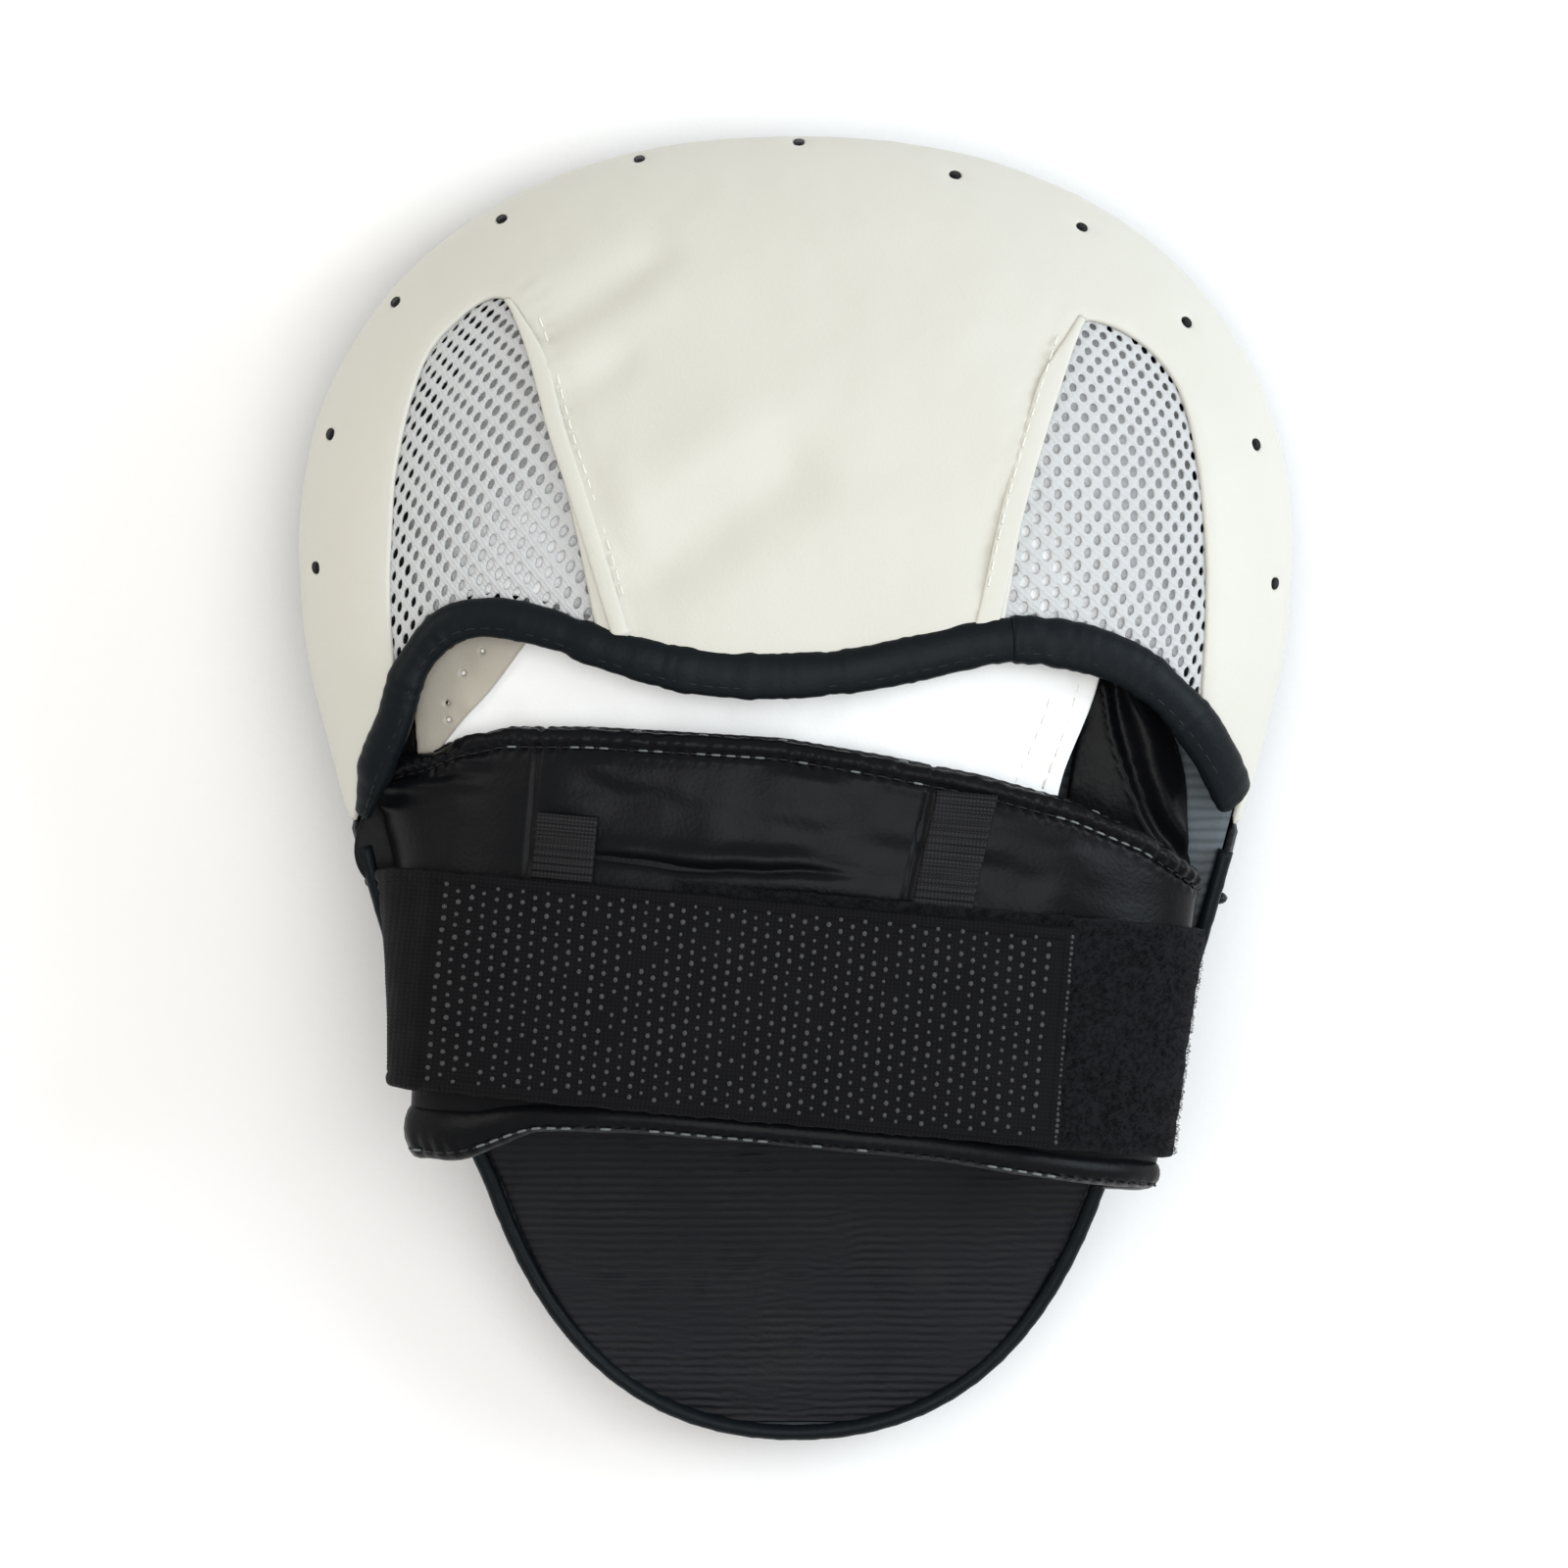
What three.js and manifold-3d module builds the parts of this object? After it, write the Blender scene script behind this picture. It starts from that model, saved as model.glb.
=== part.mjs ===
// A boxing focus mitt, lying on its striking face with the back of the hand up.
// Millimetres, +Z up, +Y towards the fingertips, +X to the right as seen from above.
// The origin is the centre of the pad in plan, on the surface it lies on.

import * as THREE from "three";
import { mergeVertices } from "three/addons/utils/BufferGeometryUtils.js";
import Module from "manifold-3d";

const wasm = await Module();
wasm.setup();

// ---- driving dimensions ----
const GAP = 0.3; // clearance between neighbouring pieces
const TOE_Y = 125; // fingertip end of the pad
const HALF_WIDTH = 95.4; // widest half width, across the fingers
const SHOULDER_Y = 45; // where the round toe ends and the flanks begin
const TOE_EXPONENT = 2.2; // squareness of the toe
const FLANK = [
  [95.4, 45],
  [93.5, 25],
  [87.3, 0],
  [82, -20],
  [76.5, -38],
  [68.5, -58],
  [60, -77],
];
const HEEL = [
  [60, -77],
  [49.5, -108],
  [31, -126.6],
  [0, -126.6],
];
const CENTRE = [0, 15]; // every pad layer is star shaped about this point
const SPOKES = 52; // points round the pad outline
const FACE_BOW = 13; // the striking face is hollow by this much at mid length
const BOW_HALF_LENGTH = 94; // beyond this distance the face is flat and rests
const PAD_THICKNESS = 33; // at the rim
const BACK_BOW = 0.9; // how much of the bow shows on the back
const HEEL_TAPER = 9; // the pad thins towards the wrist end
const CROWN = 2; // extra thickness in the middle of the pad
const COVER = 2.2; // strike cover thickness
const BAND = 2.2; // side wall leather
const DOME_TOP = 76; // outside of the hood over the knuckles
const DOME_EXPONENT = 2.2;
const SHELL = 2.6; // hood leather with its backing
const BINDING_RADIUS = 3.2; // rolled edge of the hood's mouth
const MOUTH = [
  [-87, -11],
  [-84, -7],
  [-80.3, 4.1],
  [-76.7, 12.6],
  [-73.6, 22],
  [-67.1, 29.8],
  [-58.7, 32],
  [-47.4, 30],
  [-35.2, 25.6],
  [-21, 22],
  [-7.9, 20.8],
  [9, 21.6],
  [24.1, 24.4],
  [39.1, 27.6],
  [52.3, 26.6],
  [63.5, 22.9],
  [72, 16.4],
  [79, 7.8],
  [84.6, -3],
  [87.6, -12],
];
const WINDOW_LEFT = [
  [-57.7, 93.4],
  [-65.5, 88.5],
  [-71.5, 80.5],
  [-76.3, 62.2],
  [-77.5, 44.7],
  [-76.2, 33],
  [-70, 36.2],
  [-58.7, 38.2],
  [-47, 36],
  [-37.4, 32.6],
  [-42.7, 52.3],
  [-48.3, 73.3],
  [-52.1, 89],
];
const WINDOW_RIGHT = [
  [55.3, 88.9],
  [65.8, 85],
  [73.3, 76],
  [77.1, 60.9],
  [78.4, 44.7],
  [78.2, 30],
  [76.8, 20.6],
  [67, 27.6],
  [53, 33],
  [39.8, 34.2],
  [43.4, 52.3],
  [47.2, 66],
  [51.4, 83],
];
const HEM_LEFT = [
  [-52.8, 92.5],
  [-49.2, 82],
  [-45.2, 67],
  [-40.3, 52],
  [-35, 34.5],
];
const HEM_RIGHT = [
  [52.6, 88.5],
  [49.4, 80],
  [44.8, 65.5],
  [41, 52],
  [37.2, 35],
];
const HEM_WIDTH = 3.6;
const VENT_RADIUS = 0.8;
const VENTS = [
  [-92.1, 41.7],
  [-89.5, 67.5],
  [-77.1, 93.1],
  [-56.6, 109.0],
  [-30.1, 120.7],
  [0.6, 124.1],
  [30.6, 117.3],
  [54.9, 107.2],
  [75.0, 88.9],
  [88.4, 65.4],
  [91.9, 38.7],
];
const STRAP_SLOPE = 0.0908; // radians, the wrist strap runs down to the right
const WRIST = [0, -43]; // middle of the wrist strap
const CUFF_HALF_WIDTH = 76.5;
const CUFF_EXPONENT = 2.6;
const CUFF_TOP = 76; // outside of the cuff over the wrist
const CUFF_LOW_EDGE = -21.6; // distance from the strap's centre line to the wrist end
const CUFF_HIGH_EDGE = [
  [-77, 40],
  [-75, 42.5],
  [-69, 46.5],
  [-60, 49.3],
  [-44, 50.6],
  [-25, 51.2],
  [-7, 51.7],
  [12, 50.2],
  [31, 48.2],
  [49, 45],
  [63, 40.5],
  [77, 33],
];
const CUFF_SHELL = 2;
const CUFF_FOAM = 3.9;
const CUFF_LINING = 1.3;
const ROLL_RADIUS = 3.4;
const TAPE = 1.1; // webbing and loop tape thickness
const STRAP = 2; // hook strap thickness
const STRAP_HALF_WIDTH = 21;
const STRAP_CUTS = [-57.6, -8, 22.5]; // fold lines, along the strap from its middle
const STRAP_TIP = 50;
const BALL_RADIUS = 26; // palm ball
const BALL_HEIGHT = 15;
const BALL_CENTRE = [0, -14];

// ---- small helpers ----
const lerp = THREE.MathUtils.lerp;
const smooth = THREE.MathUtils.smoothstep;
const vec = (x, y, z) => new THREE.Vector3(x, y, z);

function tableValue(table, at) {
  const last = table.length - 1;
  if (at <= table[0][0]) return table[0][1];
  if (at >= table[last][0]) return table[last][1];
  const i = table.findIndex((row) => row[0] > at) - 1;
  const t = (at - table[i][0]) / (table[i + 1][0] - table[i][0]);
  return lerp(table[i][1], table[i + 1][1], t);
}

function spline(points, count) {
  const curve = new THREE.CatmullRomCurve3(
    points.map(([x, y]) => vec(x, y, 0)),
    false,
    "centripetal",
  );
  return curve.getSpacedPoints(count).map((p) => [p.x, p.y]);
}

// ---- the pad in plan ----
function halfOutline() {
  const points = [];
  for (let i = 0; i <= 40; i += 1) {
    const a = (Math.PI / 2) * (1 - i / 40);
    const power = 2 / TOE_EXPONENT;
    const x = HALF_WIDTH * Math.cos(a) ** power;
    const y = SHOULDER_Y + (TOE_Y - SHOULDER_Y) * Math.sin(a) ** power;
    points.push([x, y]);
  }
  points.push(...spline(FLANK, 40).slice(1));
  const heel = new THREE.CubicBezierCurve(
    ...HEEL.map(([x, y]) => new THREE.Vector2(x, y)),
  );
  points.push(...heel.getPoints(30).slice(1).map((p) => [p.x, p.y]));
  return points;
}

const DENSE = (() => {
  const right = halfOutline();
  const left = right.slice(1, -1).reverse().map(([x, y]) => [-x, y]);
  return [...right, ...left];
})();

// Distance from CENTRE to the outline in a direction.
function reach(angle) {
  const dx = Math.cos(angle);
  const dy = Math.sin(angle);
  let best = 0;
  for (let i = 0; i < DENSE.length; i += 1) {
    const [ax, ay] = DENSE[i];
    const [bx, by] = DENSE[(i + 1) % DENSE.length];
    const px = ax - CENTRE[0];
    const py = ay - CENTRE[1];
    const ex = bx - ax;
    const ey = by - ay;
    const det = ex * dy - ey * dx;
    if (Math.abs(det) < 1e-9) continue;
    const along = (ex * py - ey * px) / det;
    const side = (dx * py - dy * px) / det;
    if (along > 0 && side >= -1e-6 && side <= 1 + 1e-6) best = Math.max(best, along);
  }
  return best;
}

const OUTLINE = Array.from({ length: SPOKES }, (_, i) => {
  const angle = (2 * Math.PI * i) / SPOKES + Math.PI / 2;
  const r = reach(angle);
  return [CENTRE[0] + r * Math.cos(angle), CENTRE[1] + r * Math.sin(angle)];
});

function halfWidth(y) {
  let best = 0;
  for (let i = 0; i + 1 < DENSE.length; i += 1) {
    const [ax, ay] = DENSE[i];
    const [bx, by] = DENSE[i + 1];
    if ((ay - y) * (by - y) <= 0 && ay !== by) {
      best = Math.max(best, lerp(ax, bx, (y - ay) / (by - ay)));
    }
  }
  return best;
}

// A closed outline moved inwards by a distance.
function inset(points, distance) {
  const n = points.length;
  return points.map(([x, y], i) => {
    const [ax, ay] = points[(i + n - 1) % n];
    const [bx, by] = points[(i + 1) % n];
    const long = Math.hypot(bx - ax, by - ay);
    return [x - ((by - ay) / long) * distance, y + ((bx - ax) / long) * distance];
  });
}

// ---- heights of the pad ----
function bow(y) {
  const t = Math.min(1, Math.abs(y) / BOW_HALF_LENGTH);
  return (FACE_BOW / 2) * (1 + Math.cos(Math.PI * t));
}

function rimZ(y) {
  const taper = HEEL_TAPER * smooth(-y, 55, 125);
  return PAD_THICKNESS + BACK_BOW * bow(y) - taper;
}

// Polar position of a point in the pad: fraction of the reach, and the rim's y there.
function polar(x, y, shrink = 0) {
  const dx = x - CENTRE[0];
  const dy = y - CENTRE[1];
  const angle = Math.atan2(dy, dx);
  const r = reach(angle);
  return { t: Math.hypot(dx, dy) / (r - shrink), rimY: CENTRE[1] + r * Math.sin(angle) };
}

function backZ(x, y) {
  return rimZ(y) + CROWN * (1 - smooth(polar(x, y).t, 0.4, 0.8));
}

function domeZ(x, y, depth = 0) {
  const { t, rimY } = polar(x, y, depth);
  const rise = Math.sqrt(Math.max(0, 1 - Math.min(1, t) ** DOME_EXPONENT));
  return lerp(rimZ(rimY) + GAP, DOME_TOP - depth, rise);
}

// ---- closed solids ----
// Triangles to a geometry whose faces point outwards.
function closed(positions, index) {
  let volume = 0;
  const p = positions.map((v) => vec(...v));
  for (let i = 0; i < index.length; i += 3) {
    volume += p[index[i]].dot(p[index[i + 1]].clone().cross(p[index[i + 2]]));
  }
  const faces = volume > 0 ? index : index.slice().reverse();
  const geometry = new THREE.BufferGeometry();
  geometry.setAttribute("position", new THREE.Float32BufferAttribute(positions.flat(), 3));
  geometry.setIndex(faces);
  return geometry;
}

// A cushion: rings shrink from the outline to a centre, each with a bottom and a top height.
function cushion(outline, bottom, top, scales = [0.26, 0.5, 0.72, 0.9], base = outline, centre = CENTRE) {
  const n = outline.length;
  const rings = scales.map((s) =>
    base.map(([x, y]) => [lerp(centre[0], x, s), lerp(centre[1], y, s)]),
  );
  rings.push(outline);
  const positions = [];
  for (const height of [bottom, top]) {
    positions.push([...centre, height(...centre)]);
    for (const ring of rings) {
      for (const [x, y] of ring) positions.push([x, y, height(x, y)]);
    }
  }
  const index = [];
  const side = 1 + rings.length * n;
  const at = (level, ring, i) => level * side + 1 + ring * n + (i % n);
  for (let level = 0; level < 2; level += 1) {
    const add = (a, b, c) => index.push(...(level ? [a, b, c] : [a, c, b]));
    for (let i = 0; i < n; i += 1) {
      add(level * side, at(level, 0, i), at(level, 0, i + 1));
      for (let ring = 0; ring + 1 < rings.length; ring += 1) {
        add(at(level, ring, i), at(level, ring + 1, i), at(level, ring + 1, i + 1));
        add(at(level, ring, i), at(level, ring + 1, i + 1), at(level, ring, i + 1));
      }
    }
  }
  const rim = rings.length - 1;
  for (let i = 0; i < n; i += 1) {
    index.push(at(0, rim, i), at(0, rim, i + 1), at(1, rim, i + 1));
    index.push(at(0, rim, i), at(1, rim, i + 1), at(1, rim, i));
  }
  return closed(positions, index);
}

// A strip of wall between two outlines, from one outline index to another.
function wall(outer, inner, from, to, bottom, top) {
  const positions = [];
  const n = outer.length;
  for (let i = from; i <= to; i += 1) {
    const [ox, oy] = outer[i % n];
    const [ix, iy] = inner[i % n];
    positions.push([ox, oy, bottom(oy)], [ox, oy, top(oy)], [ix, iy, top(oy)], [ix, iy, bottom(oy)]);
  }
  const index = [];
  const count = to - from;
  for (let i = 0; i < count; i += 1) {
    for (let k = 0; k < 4; k += 1) {
      const a = 4 * i + k;
      const b = 4 * i + ((k + 1) % 4);
      index.push(a, b, b + 4, a, b + 4, a + 4);
    }
  }
  const e = 4 * count;
  index.push(0, 2, 1, 0, 3, 2, e, e + 1, e + 2, e, e + 2, e + 3);
  return closed(positions, index);
}

// A thick sheet: a surface over (u, v) in 0..1, filled between two offsets along its normal.
function sheet(surface, across, along, low, high) {
  const positions = [];
  for (const offset of [low, high]) {
    for (let i = 0; i <= across; i += 1) {
      for (let k = 0; k <= along; k += 1) {
        const p = offsetPoint(surface, i / across, k / along, offset);
        positions.push([p.x, p.y, p.z]);
      }
    }
  }
  const row = along + 1;
  const layer = (across + 1) * row;
  const index = [];
  for (let i = 0; i < across; i += 1) {
    for (let k = 0; k < along; k += 1) {
      const a = i * row + k;
      index.push(a, a + row + 1, a + row, a, a + 1, a + row + 1);
      const b = a + layer;
      index.push(b, b + row, b + row + 1, b, b + row + 1, b + 1);
    }
  }
  const edge = [];
  for (let i = 0; i < across; i += 1) edge.push(i * row);
  for (let k = 0; k < along; k += 1) edge.push(across * row + k);
  for (let i = across; i > 0; i -= 1) edge.push(i * row + along);
  for (let k = along; k > 0; k -= 1) edge.push(k);
  edge.forEach((a, i) => {
    const b = edge[(i + 1) % edge.length];
    index.push(a, b, b + layer, a, b + layer, a + layer);
  });
  return closed(positions, index);
}

function offsetPoint(surface, u, v, offset) {
  const e = 1e-3;
  const du = surface(Math.min(1, u + e), v).sub(surface(Math.max(0, u - e), v));
  const dv = surface(u, Math.min(1, v + e)).sub(surface(u, Math.max(0, v - e)));
  const normal = du.cross(dv).normalize();
  return surface(u, v).addScaledVector(normal, offset);
}

// A round cord along a path of 3-D points.
function cord(points, radius, steps, sides = 8) {
  const circle = new THREE.Shape();
  for (let i = 0; i < sides; i += 1) {
    const a = (2 * Math.PI * i) / sides;
    if (i === 0) circle.moveTo(radius, 0);
    else circle.lineTo(radius * Math.cos(a), radius * Math.sin(a));
  }
  const path = new THREE.CatmullRomCurve3(points, false, "centripetal");
  return new THREE.ExtrudeGeometry(circle, { steps, bevelEnabled: false, extrudePath: path });
}

// An upright prism over a polygon, from below the mitt to above it.
function prism(points) {
  const shape = new THREE.Shape(points.map(([x, y]) => new THREE.Vector2(x, y)));
  const geometry = new THREE.ExtrudeGeometry(shape, { depth: 120, bevelEnabled: false });
  geometry.translate(0, 0, -5);
  return geometry;
}

// ---- cutting and joining ----
function solid(geometry) {
  const bare = geometry.clone();
  for (const name of Object.keys(bare.attributes)) {
    if (name !== "position") bare.deleteAttribute(name);
  }
  const welded = mergeVertices(bare, 1e-4);
  return new wasm.Manifold(
    new wasm.Mesh({
      numProp: 3,
      vertProperties: new Float32Array(welded.attributes.position.array),
      triVerts: new Uint32Array(welded.index.array),
    }),
  );
}

// The largest body of a solid, as a geometry.
function biggest(manifold) {
  const bodies = manifold.decompose();
  const body = bodies.reduce((a, b) => (a.volume() > b.volume() ? a : b));
  const mesh = body.simplify(0.01).getMesh();
  const positions = [];
  for (let i = 0; i < mesh.vertProperties.length; i += mesh.numProp) {
    positions.push(Array.from(mesh.vertProperties.slice(i, i + 3)));
  }
  return closed(positions, Array.from(mesh.triVerts));
}

// ---- materials ----
const paint = (color, roughness) => ({ color, roughness, metalness: 0 });
const WHITE_LEATHER = paint(0xebe9dc, 0.55);
const WHITE_MESH = paint(0xe6e8ea, 0.8);
const BLACK_LEATHER = paint(0x1c1d1f, 0.5);
const BLACK_GRAIN = paint(0x1f2327, 0.6);
const BLACK_WEBBING = paint(0x18181b, 0.85);
const BLACK_TAPE = paint(0x141416, 0.9);
const FOAM_GREY = paint(0x6b6d70, 0.95);
const FOAM_BLACK = paint(0x2a2b2d, 0.95);
const FOAM_WHITE = paint(0xd8d6cf, 0.95);

const mitt = new THREE.Group();
mitt.name = "focus_mitt";
const groups = new Map();

function add(group, name, geometry, look) {
  const mesh = new THREE.Mesh(geometry, new THREE.MeshStandardMaterial(look));
  mesh.name = name;
  if (!groups.has(group)) {
    const holder = new THREE.Group();
    holder.name = group;
    mitt.add(holder);
    groups.set(group, holder);
  }
  groups.get(group).add(mesh);
}

// ---- the pad: strike cover, three foam layers, side walls, piping, lining ----
const coverOutline = inset(OUTLINE, 2.6);
const coreOutline = inset(OUTLINE, BAND + GAP + 0.2);
const faceOutline = inset(OUTLINE, 4.8);
const lift = (x, y) => bow(y) + 2.4 * smooth(polar(x, y).t, 0.9, 0.985);
const layer = (outline, bottom, top) =>
  cushion(outline, bottom, top, [0.4, 0.62, 0.78, 0.9], OUTLINE);

add("pad", "strike_face_cover", layer(coverOutline, lift, (x, y) => lift(x, y) + COVER), BLACK_LEATHER);
const FACE_FOAM_TOP = 10;
add(
  "pad",
  "foam_face_layer",
  layer(faceOutline, (x, y) => lift(x, y) + COVER + GAP, (x, y) => bow(y) + FACE_FOAM_TOP),
  FOAM_BLACK,
);
const middle = (x, y) => lerp(bow(y) + FACE_FOAM_TOP, backZ(x, y) - 2, 0.55);
add(
  "pad",
  "foam_core_layer",
  layer(coreOutline, (x, y) => bow(y) + FACE_FOAM_TOP + GAP, middle),
  FOAM_GREY,
);
add(
  "pad",
  "foam_back_layer",
  layer(coreOutline, (x, y) => middle(x, y) + GAP, (x, y) => backZ(x, y) - 1.7 - GAP),
  FOAM_WHITE,
);
add("pad", "back_lining", layer(inset(OUTLINE, 3.5), (x, y) => backZ(x, y) - 1.7, backZ), BLACK_GRAIN);

const bandInner = inset(OUTLINE, BAND);
const bandBottom = (y) => bow(y) + 9.8;
const leftTip = OUTLINE.findIndex(([x, y]) => x < 0 && y < -6);
const rightTip = OUTLINE.findIndex(([x, y], i) => i > leftTip && x > 0 && y > -12);
add(
  "pad",
  "side_band_heel",
  wall(OUTLINE, bandInner, leftTip, rightTip, bandBottom, rimZ),
  BLACK_GRAIN,
);
const upperBand = wall(OUTLINE, bandInner, rightTip, leftTip + SPOKES, bandBottom, rimZ);
const heelBandKeepOut = wall(
  inset(OUTLINE, -1),
  inset(OUTLINE, BAND + 1),
  leftTip,
  rightTip,
  (y) => bandBottom(y) - 3,
  (y) => rimZ(y) + 3,
);
const tipGap = (i, way) => {
  const [x, y] = OUTLINE[i % SPOKES];
  const box = new THREE.BoxGeometry(12, GAP, 60);
  box.translate(x, y + way * GAP * 0.5, 35);
  return solid(box);
};
add(
  "pad",
  "side_band_upper",
  biggest(
    solid(upperBand)
      .subtract(solid(heelBandKeepOut))
      .subtract(tipGap(leftTip, 1))
      .subtract(tipGap(rightTip, 1)),
  ),
  WHITE_LEATHER,
);

// Piping sewn round the striking edge, its ends meeting at the wrist end.
function ring(outline, fromIndex, toIndex, z) {
  const points = [];
  for (let i = fromIndex; i <= toIndex; i += 1) {
    const [x, y] = outline[i % outline.length];
    points.push(vec(x, y, z(y)));
  }
  return points;
}
const heelIndex = SPOKES / 2;
const pipingLine = ring(inset(OUTLINE, 2.4), heelIndex, heelIndex + SPOKES, (y) => bow(y) + 7.3);
const pipingPath = pipingLine.map((p, i) => {
  if (i === 0) return p.clone().add(vec(0.2, 0, 0));
  if (i === pipingLine.length - 1) return p.clone().add(vec(-0.2, 0, 0));
  return p;
});
add("pad", "strike_piping", cord(pipingPath, 2, 52, 6), BLACK_LEATHER);
const heelPipingPath = ring(inset(OUTLINE, 1.8), leftTip + 1, rightTip - 1, (y) => rimZ(y) + 1.9);
add("pad", "heel_edge_piping", cord(heelPipingPath, 1.5, 30, 6), BLACK_LEATHER);

// Everything up to just above the lining, cut away from whatever rests on the pad.
const padBody = solid(layer(inset(OUTLINE, 1), bow, (x, y) => backZ(x, y) + GAP));

// The wrist end of the pad has a second, ribbed cover over the lining.
const HEEL_COVER = 1.6;
const heelCoverTop = (x, y) => backZ(x, y) + GAP + HEEL_COVER;
const heelCover = layer(inset(OUTLINE, 4), (x, y) => backZ(x, y) - 1, heelCoverTop);
const wristEnd = [
  [-47, -54],
  [-44, -79],
  [-100, -79],
  [-100, -140],
  [100, -140],
  [100, -79],
  [43, -79],
  [46, -54],
];
add(
  "pad",
  "heel_back_cover",
  biggest(solid(heelCover).intersect(solid(prism(wristEnd))).subtract(padBody)),
  BLACK_GRAIN,
);

// ---- the palm ball on the back of the pad ----
const ballOutline = (radius) =>
  Array.from({ length: 20 }, (_, i) => {
    const a = (2 * Math.PI * i) / 20;
    return [BALL_CENTRE[0] + radius * Math.cos(a), BALL_CENTRE[1] + radius * Math.sin(a)];
  });
function ball(radius, height) {
  const base = backZ(...BALL_CENTRE);
  const top = (x, y) => {
    const t = Math.hypot(x - BALL_CENTRE[0], y - BALL_CENTRE[1]) / radius;
    return base + height * Math.sqrt(Math.max(0, 1 - t * t));
  };
  const rings = [0.45, 0.78, 0.95];
  const outline = ballOutline(radius);
  return cushion(outline, () => base - 8, top, rings, outline, BALL_CENTRE);
}
add(
  "palm_ball",
  "palm_ball_core",
  biggest(solid(ball(BALL_RADIUS - 2.4, BALL_HEIGHT - 2.4)).subtract(padBody)),
  FOAM_GREY,
);
add(
  "palm_ball",
  "palm_ball_cover",
  biggest(
    solid(ball(BALL_RADIUS, BALL_HEIGHT))
      .subtract(solid(ball(BALL_RADIUS - 2, BALL_HEIGHT - 2)))
      .subtract(padBody),
  ),
  BLACK_LEATHER,
);

// ---- the hood over the fingers ----
const DOME_RINGS = [0.3, 0.56, 0.76, 0.9, 0.97];
function dome(depth, drop) {
  const outline = depth > 0 ? inset(OUTLINE, depth) : OUTLINE;
  const bottom = (x, y) => {
    const { rimY } = polar(x, y);
    return rimZ(rimY) + GAP - drop;
  };
  const top = (x, y) => domeZ(x, y, depth);
  return solid(cushion(outline, bottom, (x, y) => Math.max(top(x, y), bottom(x, y) + 0.4), DOME_RINGS));
}
function domeLayer(depth, thickness) {
  return dome(depth, depth > 0 ? 4 : 0).subtract(dome(depth + thickness, 8));
}

const mouthLine = spline(MOUTH, 48);
// Moves an open line sideways; positive goes towards the fingertips.
function beside(line, distance) {
  return line.map(([x, y], i) => {
    const [ax, ay] = line[Math.max(0, i - 1)];
    const [bx, by] = line[Math.min(line.length - 1, i + 1)];
    const long = Math.hypot(bx - ax, by - ay);
    return [x - ((by - ay) / long) * distance, y + ((bx - ax) / long) * distance];
  });
}
const hoodEdge = beside(mouthLine, BINDING_RADIUS + GAP);
const hoodRegion = [...hoodEdge, [115, 0], [115, 140], [-115, 140], [-115, 0]];

const vents = VENTS.map(([x, y]) => {
  const e = 0.5;
  const out = vec(
    domeZ(x - e, y) - domeZ(x + e, y),
    domeZ(x, y - e) - domeZ(x, y + e),
    2 * e,
  ).normalize();
  const drill = new THREE.CylinderGeometry(VENT_RADIUS, VENT_RADIUS, 14, 8);
  drill.applyQuaternion(new THREE.Quaternion().setFromUnitVectors(vec(0, 1, 0), out));
  drill.translate(x, y, domeZ(x, y));
  return solid(drill);
});
let hoodShell = domeLayer(0, SHELL)
  .intersect(solid(prism(hoodRegion)))
  .subtract(solid(prism(WINDOW_LEFT)))
  .subtract(solid(prism(WINDOW_RIGHT)));
for (const vent of vents) hoodShell = hoodShell.subtract(vent);
add("hood", "hood_shell", biggest(hoodShell), WHITE_LEATHER);

// Rolled binding round the mouth, its two lengths joined right of the middle.
const JOIN_X = 40;
const bindingPoint = ([x, y]) => vec(x, y, domeZ(x, y) - SHELL / 2);
const insideRim = ([x, y]) => polar(x, y).t < 0.968;
const leftBinding = mouthLine.filter(([x]) => x < JOIN_X - 1.5).filter(insideRim);
const rightBinding = mouthLine.filter(([x]) => x > JOIN_X + 1.5).filter(insideRim);
add("hood", "hood_binding_left", cord(leftBinding.map(bindingPoint), BINDING_RADIUS, 40), BLACK_LEATHER);
add("hood", "hood_binding_right", cord(rightBinding.map(bindingPoint), BINDING_RADIUS, 18), BLACK_LEATHER);

// Mesh windows, caught under the leather all round.
for (const [side, outline] of [
  ["left", WINDOW_LEFT],
  ["right", WINDOW_RIGHT],
]) {
  const turned = inset(outline, side === "left" ? -2.2 : 2.2);
  const mesh = domeLayer(SHELL + GAP, 0.9).intersect(solid(prism(turned)));
  add("hood", `hood_mesh_${side}`, biggest(mesh), WHITE_MESH);
}

// Folded hems down the inner edge of each window.
for (const [side, line] of [
  ["left", HEM_LEFT],
  ["right", HEM_RIGHT],
]) {
  const middleLine = spline(line, 12);
  const surface = (u, v) => {
    const at = u * (middleLine.length - 1);
    const i = Math.min(middleLine.length - 2, Math.floor(at));
    const f = at - i;
    const [ax, ay] = middleLine[i];
    const [bx, by] = middleLine[i + 1];
    const x = lerp(ax, bx, f) + (v - 0.5) * HEM_WIDTH;
    const y = lerp(ay, by, f);
    return vec(x, y, domeZ(x, y));
  };
  add("hood", `hood_hem_${side}`, sheet(surface, 12, 2, 0.35, 1.2), WHITE_LEATHER);
}

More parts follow.
